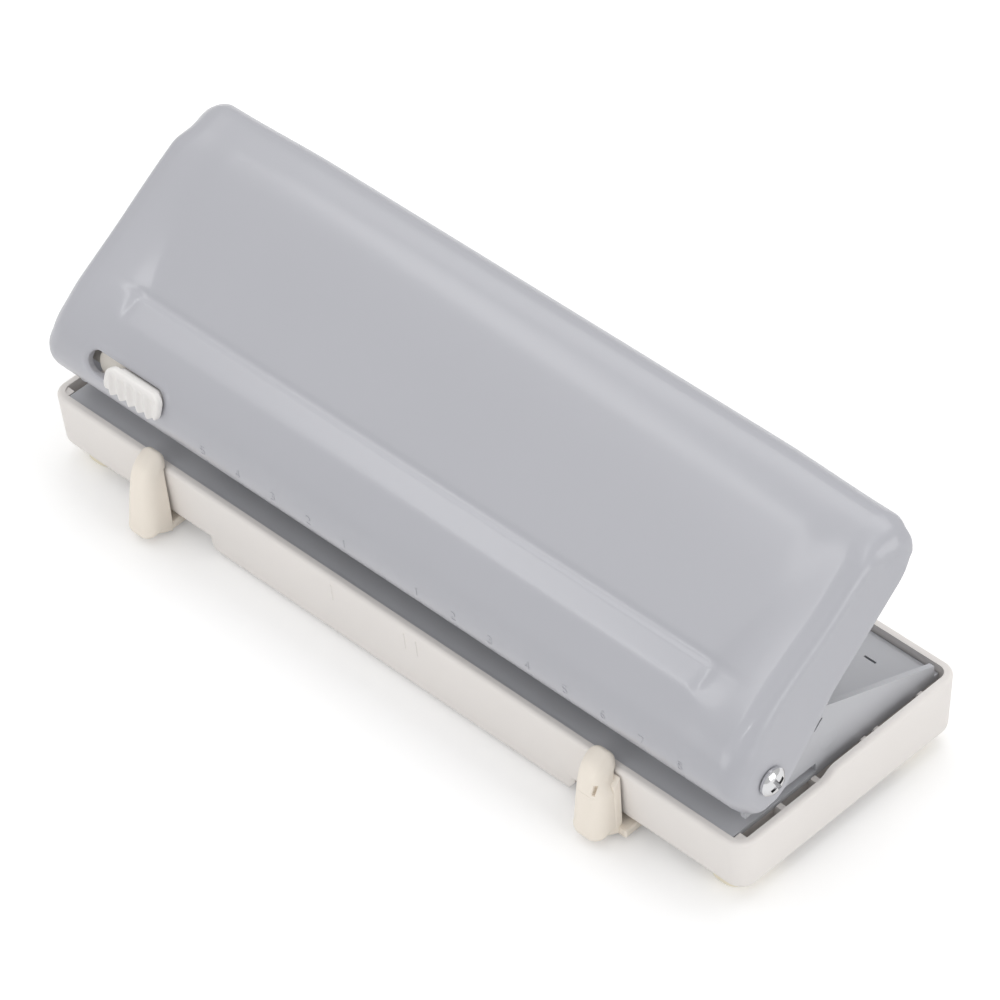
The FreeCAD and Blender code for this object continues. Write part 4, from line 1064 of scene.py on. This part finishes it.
def rod_ends():
    """Paint over the rod's flush ends, in the ears."""
    low, high = corner_values("guide_rod")
    middle = (low + high) / 2.0
    for name, side in (("left", -1.0), ("right", 1.0)):
        points = []
        for radius, out in ROD_END:
            for k in range(ROD_END_SIDES):
                angle = 2.0 * math.pi * k / ROD_END_SIDES
                points.append((side * (high[0] + out), middle[1] + radius * math.cos(angle),
                               middle[2] + radius * math.sin(angle)))
        faces = tube_faces(len(ROD_END), ROD_END_SIDES, capped=False)
        end = mesh_object("rod_end_" + name, points, faces)
        merge_doubles(end)
        shade(end, math.radians(50.0))
        dress(end, "frame", "grey_paint")


def copy_of(node, name):
    """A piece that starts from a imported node's mesh, without its stored normals."""
    obj = link(bpy.data.objects.new(name, frame["nodes"][node].data.copy()))
    stored = obj.data.attributes.get("custom_normal")
    if stored is not None:
        obj.data.attributes.remove(stored)
    return obj


def lock_plate():
    """The slider plate, shortened to clear the lever's round end when the lock is out."""
    obj = copy_of("lock_bolt", "lock_plate")
    kept_side(obj, (PLATE_LEFT, 0.0, 0.0), (1.0, 0.0, 0.0))
    shade(obj)
    dress(obj, "lock", "bolt_cream", "lock_bolt")
    soften(obj, 0.3)


def outer_rim(work):
    """The edges at which the top of the tray's rim meets its outer walls."""
    half_width = corner_values("tray")[1][0]
    rim = []
    for edge in work.edges:
        spot = (edge.verts[0].co + edge.verts[1].co) / 2.0 * METRE
        flat = [face for face in edge.link_faces if face.normal.z > 0.6]
        side = [face for face in edge.link_faces if abs(face.normal.z) < 0.3]
        if len(edge.link_faces) != 2 or spot.z <= RIM_LEVEL or not flat or not side:
            continue
        way = side[0].normal
        if way.x * spot.x / half_width + way.y * (spot.y - TRAY_MIDDLE) / TRAY_HALF_DEPTH > 0.5:
            rim.append(edge)
    return rim


def tray_shell():
    """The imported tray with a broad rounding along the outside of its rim."""
    obj = copy_of("tray", "tray_shell")
    work = opened(obj)
    bmesh.ops.remove_doubles(work, verts=work.verts, dist=WELD / METRE)
    bmesh.ops.dissolve_limit(work, angle_limit=math.radians(0.2), verts=work.verts, edges=work.edges,
                             delimit={"SHARP"})
    bmesh.ops.bevel(work, geom=outer_rim(work), offset=TRAY_ROUNDING / METRE, offset_type="OFFSET",
                    segments=5, profile=0.5, affect="EDGES", clamp_overlap=False, loop_slide=True)
    written(work, obj)
    shade(obj, math.radians(30.0))
    dress(obj, "tray", "tray_cream", "tray")
    soften(obj, 0.25, 2, 45.0)


def return_spring(index):
    """A wire coil between a unit and its pin head, carried with the unit."""
    name = "pin_spring_" + str(index)
    low, high = corner_values(name)
    centre = (low + high) / 2.0
    radius = (high[0] - low[0] - COIL_WIRE) / 2.0
    bottom = low[2] + COIL_WIRE / 2.0
    top = high[2] - COIL_WIRE / 2.0
    steps = COIL_STEPS * COIL_TURNS
    points = []
    for i in range(steps + 1):
        share = i / steps
        angle = 2.0 * math.pi * COIL_TURNS * share
        outward = np.array([math.cos(angle), math.sin(angle), 0.0])
        middle = outward * radius + np.array([centre[0], centre[1], bottom + (top - bottom) * share])
        for k in range(COIL_SIDES):
            turn = 2.0 * math.pi * k / COIL_SIDES
            up = np.array([0.0, 0.0, math.sin(turn)])
            points.append(middle + (outward * math.cos(turn) + up) * COIL_WIRE / 2.0)
    coil = mesh_object("return_coil_" + str(index), points, tube_faces(steps + 1, COIL_SIDES))
    shade(coil)
    dress(coil, "unit_" + str(index), "spring_steel", name)
    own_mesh(coil)


# Stage, light and camera.

def stage():
    """The pale floor, which shows a little brighter to the camera and keeps the shadow."""
    bpy.ops.mesh.primitive_plane_add(size=12.0, location=(0.0, 0.0, 0.0))
    floor = bpy.context.object
    floor.name = "floor"
    material = bpy.data.materials.new("floor_white")
    tree = empty_tree(material)
    output = add(tree, "OutputMaterial")
    matt = add(tree, "BsdfDiffuse", Color=(FLOOR_GREY, FLOOR_GREY, FLOOR_GREY, 1.0))
    glow = add(tree, "Emission", Color=WHITE)
    both = add(tree, "AddShader")
    path = add(tree, "LightPath")
    level = add(tree, "Math")
    level.operation = "MULTIPLY"
    level.inputs[1].default_value = FLOOR_GLOW
    tree.links.new(path.outputs["Is Camera Ray"], level.inputs[0])
    tree.links.new(level.outputs[0], glow.inputs["Strength"])
    tree.links.new(matt.outputs[0], both.inputs[0])
    tree.links.new(glow.outputs[0], both.inputs[1])
    tree.links.new(both.outputs[0], output.inputs["Surface"])
    floor.data.materials.append(material)


def world():
    """Even light from all round, which the camera sees as white."""
    sky = bpy.data.worlds.new("studio")
    bpy.context.scene.world = sky
    tree = empty_tree(sky)
    output = add(tree, "OutputWorld")
    soft = add(tree, "Background", Color=WHITE, Strength=SKY_LEVEL)
    white = add(tree, "Background", Color=WHITE, Strength=1.0)
    path = add(tree, "LightPath")
    mix = add(tree, "MixShader")
    tree.links.new(path.outputs["Is Camera Ray"], mix.inputs["Fac"])
    tree.links.new(soft.outputs[0], mix.inputs[1])
    tree.links.new(white.outputs[0], mix.inputs[2])
    tree.links.new(mix.outputs[0], output.inputs["Surface"])


def lamp(name, place, size, share, turn=None):
    """A soft box, as bright as the share of a colour that it alone would show."""
    data = bpy.data.lights.new(name, "AREA")
    data.shape = "RECTANGLE"
    data.size, data.size_y = size
    place = Vector(place)
    way = Vector((0.0, 0.0, 0.03)) - place
    data.energy = share * math.pi ** 2 * way.length ** 2
    obj = link(bpy.data.objects.new(name, data))
    obj.location = place
    if turn is None:
        obj.rotation_euler = way.to_track_quat("-Z", "Y").to_euler()
    else:
        obj.rotation_euler = (0.0, 0.0, math.radians(turn))
        data.energy *= way.length / place.z


def lights():
    """Soft boxes: lengths in metres, each with its turn about the vertical where it isn't aimed."""
    lamp("lamp_strip", (-0.70, -0.55, 1.3), (0.2, 1.2), 0.11, turn=17.0)
    lamp("lamp_over", (-0.1, 0.55, 1.5), (2.0, 0.8), 0.37, turn=0.0)
    lamp("lamp_glint", (0.33, -1.17, 1.3), (0.12, 0.12), 0.03)
    lamp("lamp_right", (1.4, 0.2, 0.45), (0.9, 0.7), 0.20)
    lamp("lamp_front", (-0.2, -1.45, 0.55), (0.9, 0.5), 0.12)


def camera():
    """The photograph's view, by the camera's axes and its place in millimetres."""
    data = bpy.data.cameras.new("camera")
    data.sensor_width = 36.0
    data.lens = 226.12
    data.clip_end = 10.0
    obj = link(bpy.data.objects.new("camera", data))
    right = (0.71227717, 0.70021478, -0.04858491)
    down = (0.45796923, -0.5160817, -0.72382585)
    ahead = (-0.53190735, 0.49331423, -0.68827004)
    place = (660.56, -606.37, 878.12)
    turn = Matrix((right, [-v for v in down], [-v for v in ahead])).transposed()
    obj.matrix_world = Matrix.Translation(Vector(place) / METRE) @ turn.to_4x4()
    bpy.context.scene.camera = obj


finishes()
lever_shell()
for number in range(1, 7):
    return_spring(number)
    soften(frame["nodes"]["punch_unit_" + str(number)], 0.3, 2)
    soften(frame["nodes"]["punch_pin_" + str(number)], 0.15, 2)
soften(frame["nodes"]["frame"], 0.25, 2)
lock_plate()
tray_shell()
tray_ticks()
left_guide()
right_guide()
lock_knob()
ruler()
rod_ends()
stage()
world()
lights()
camera()
bpy.context.scene.view_settings.view_transform = "Standard"
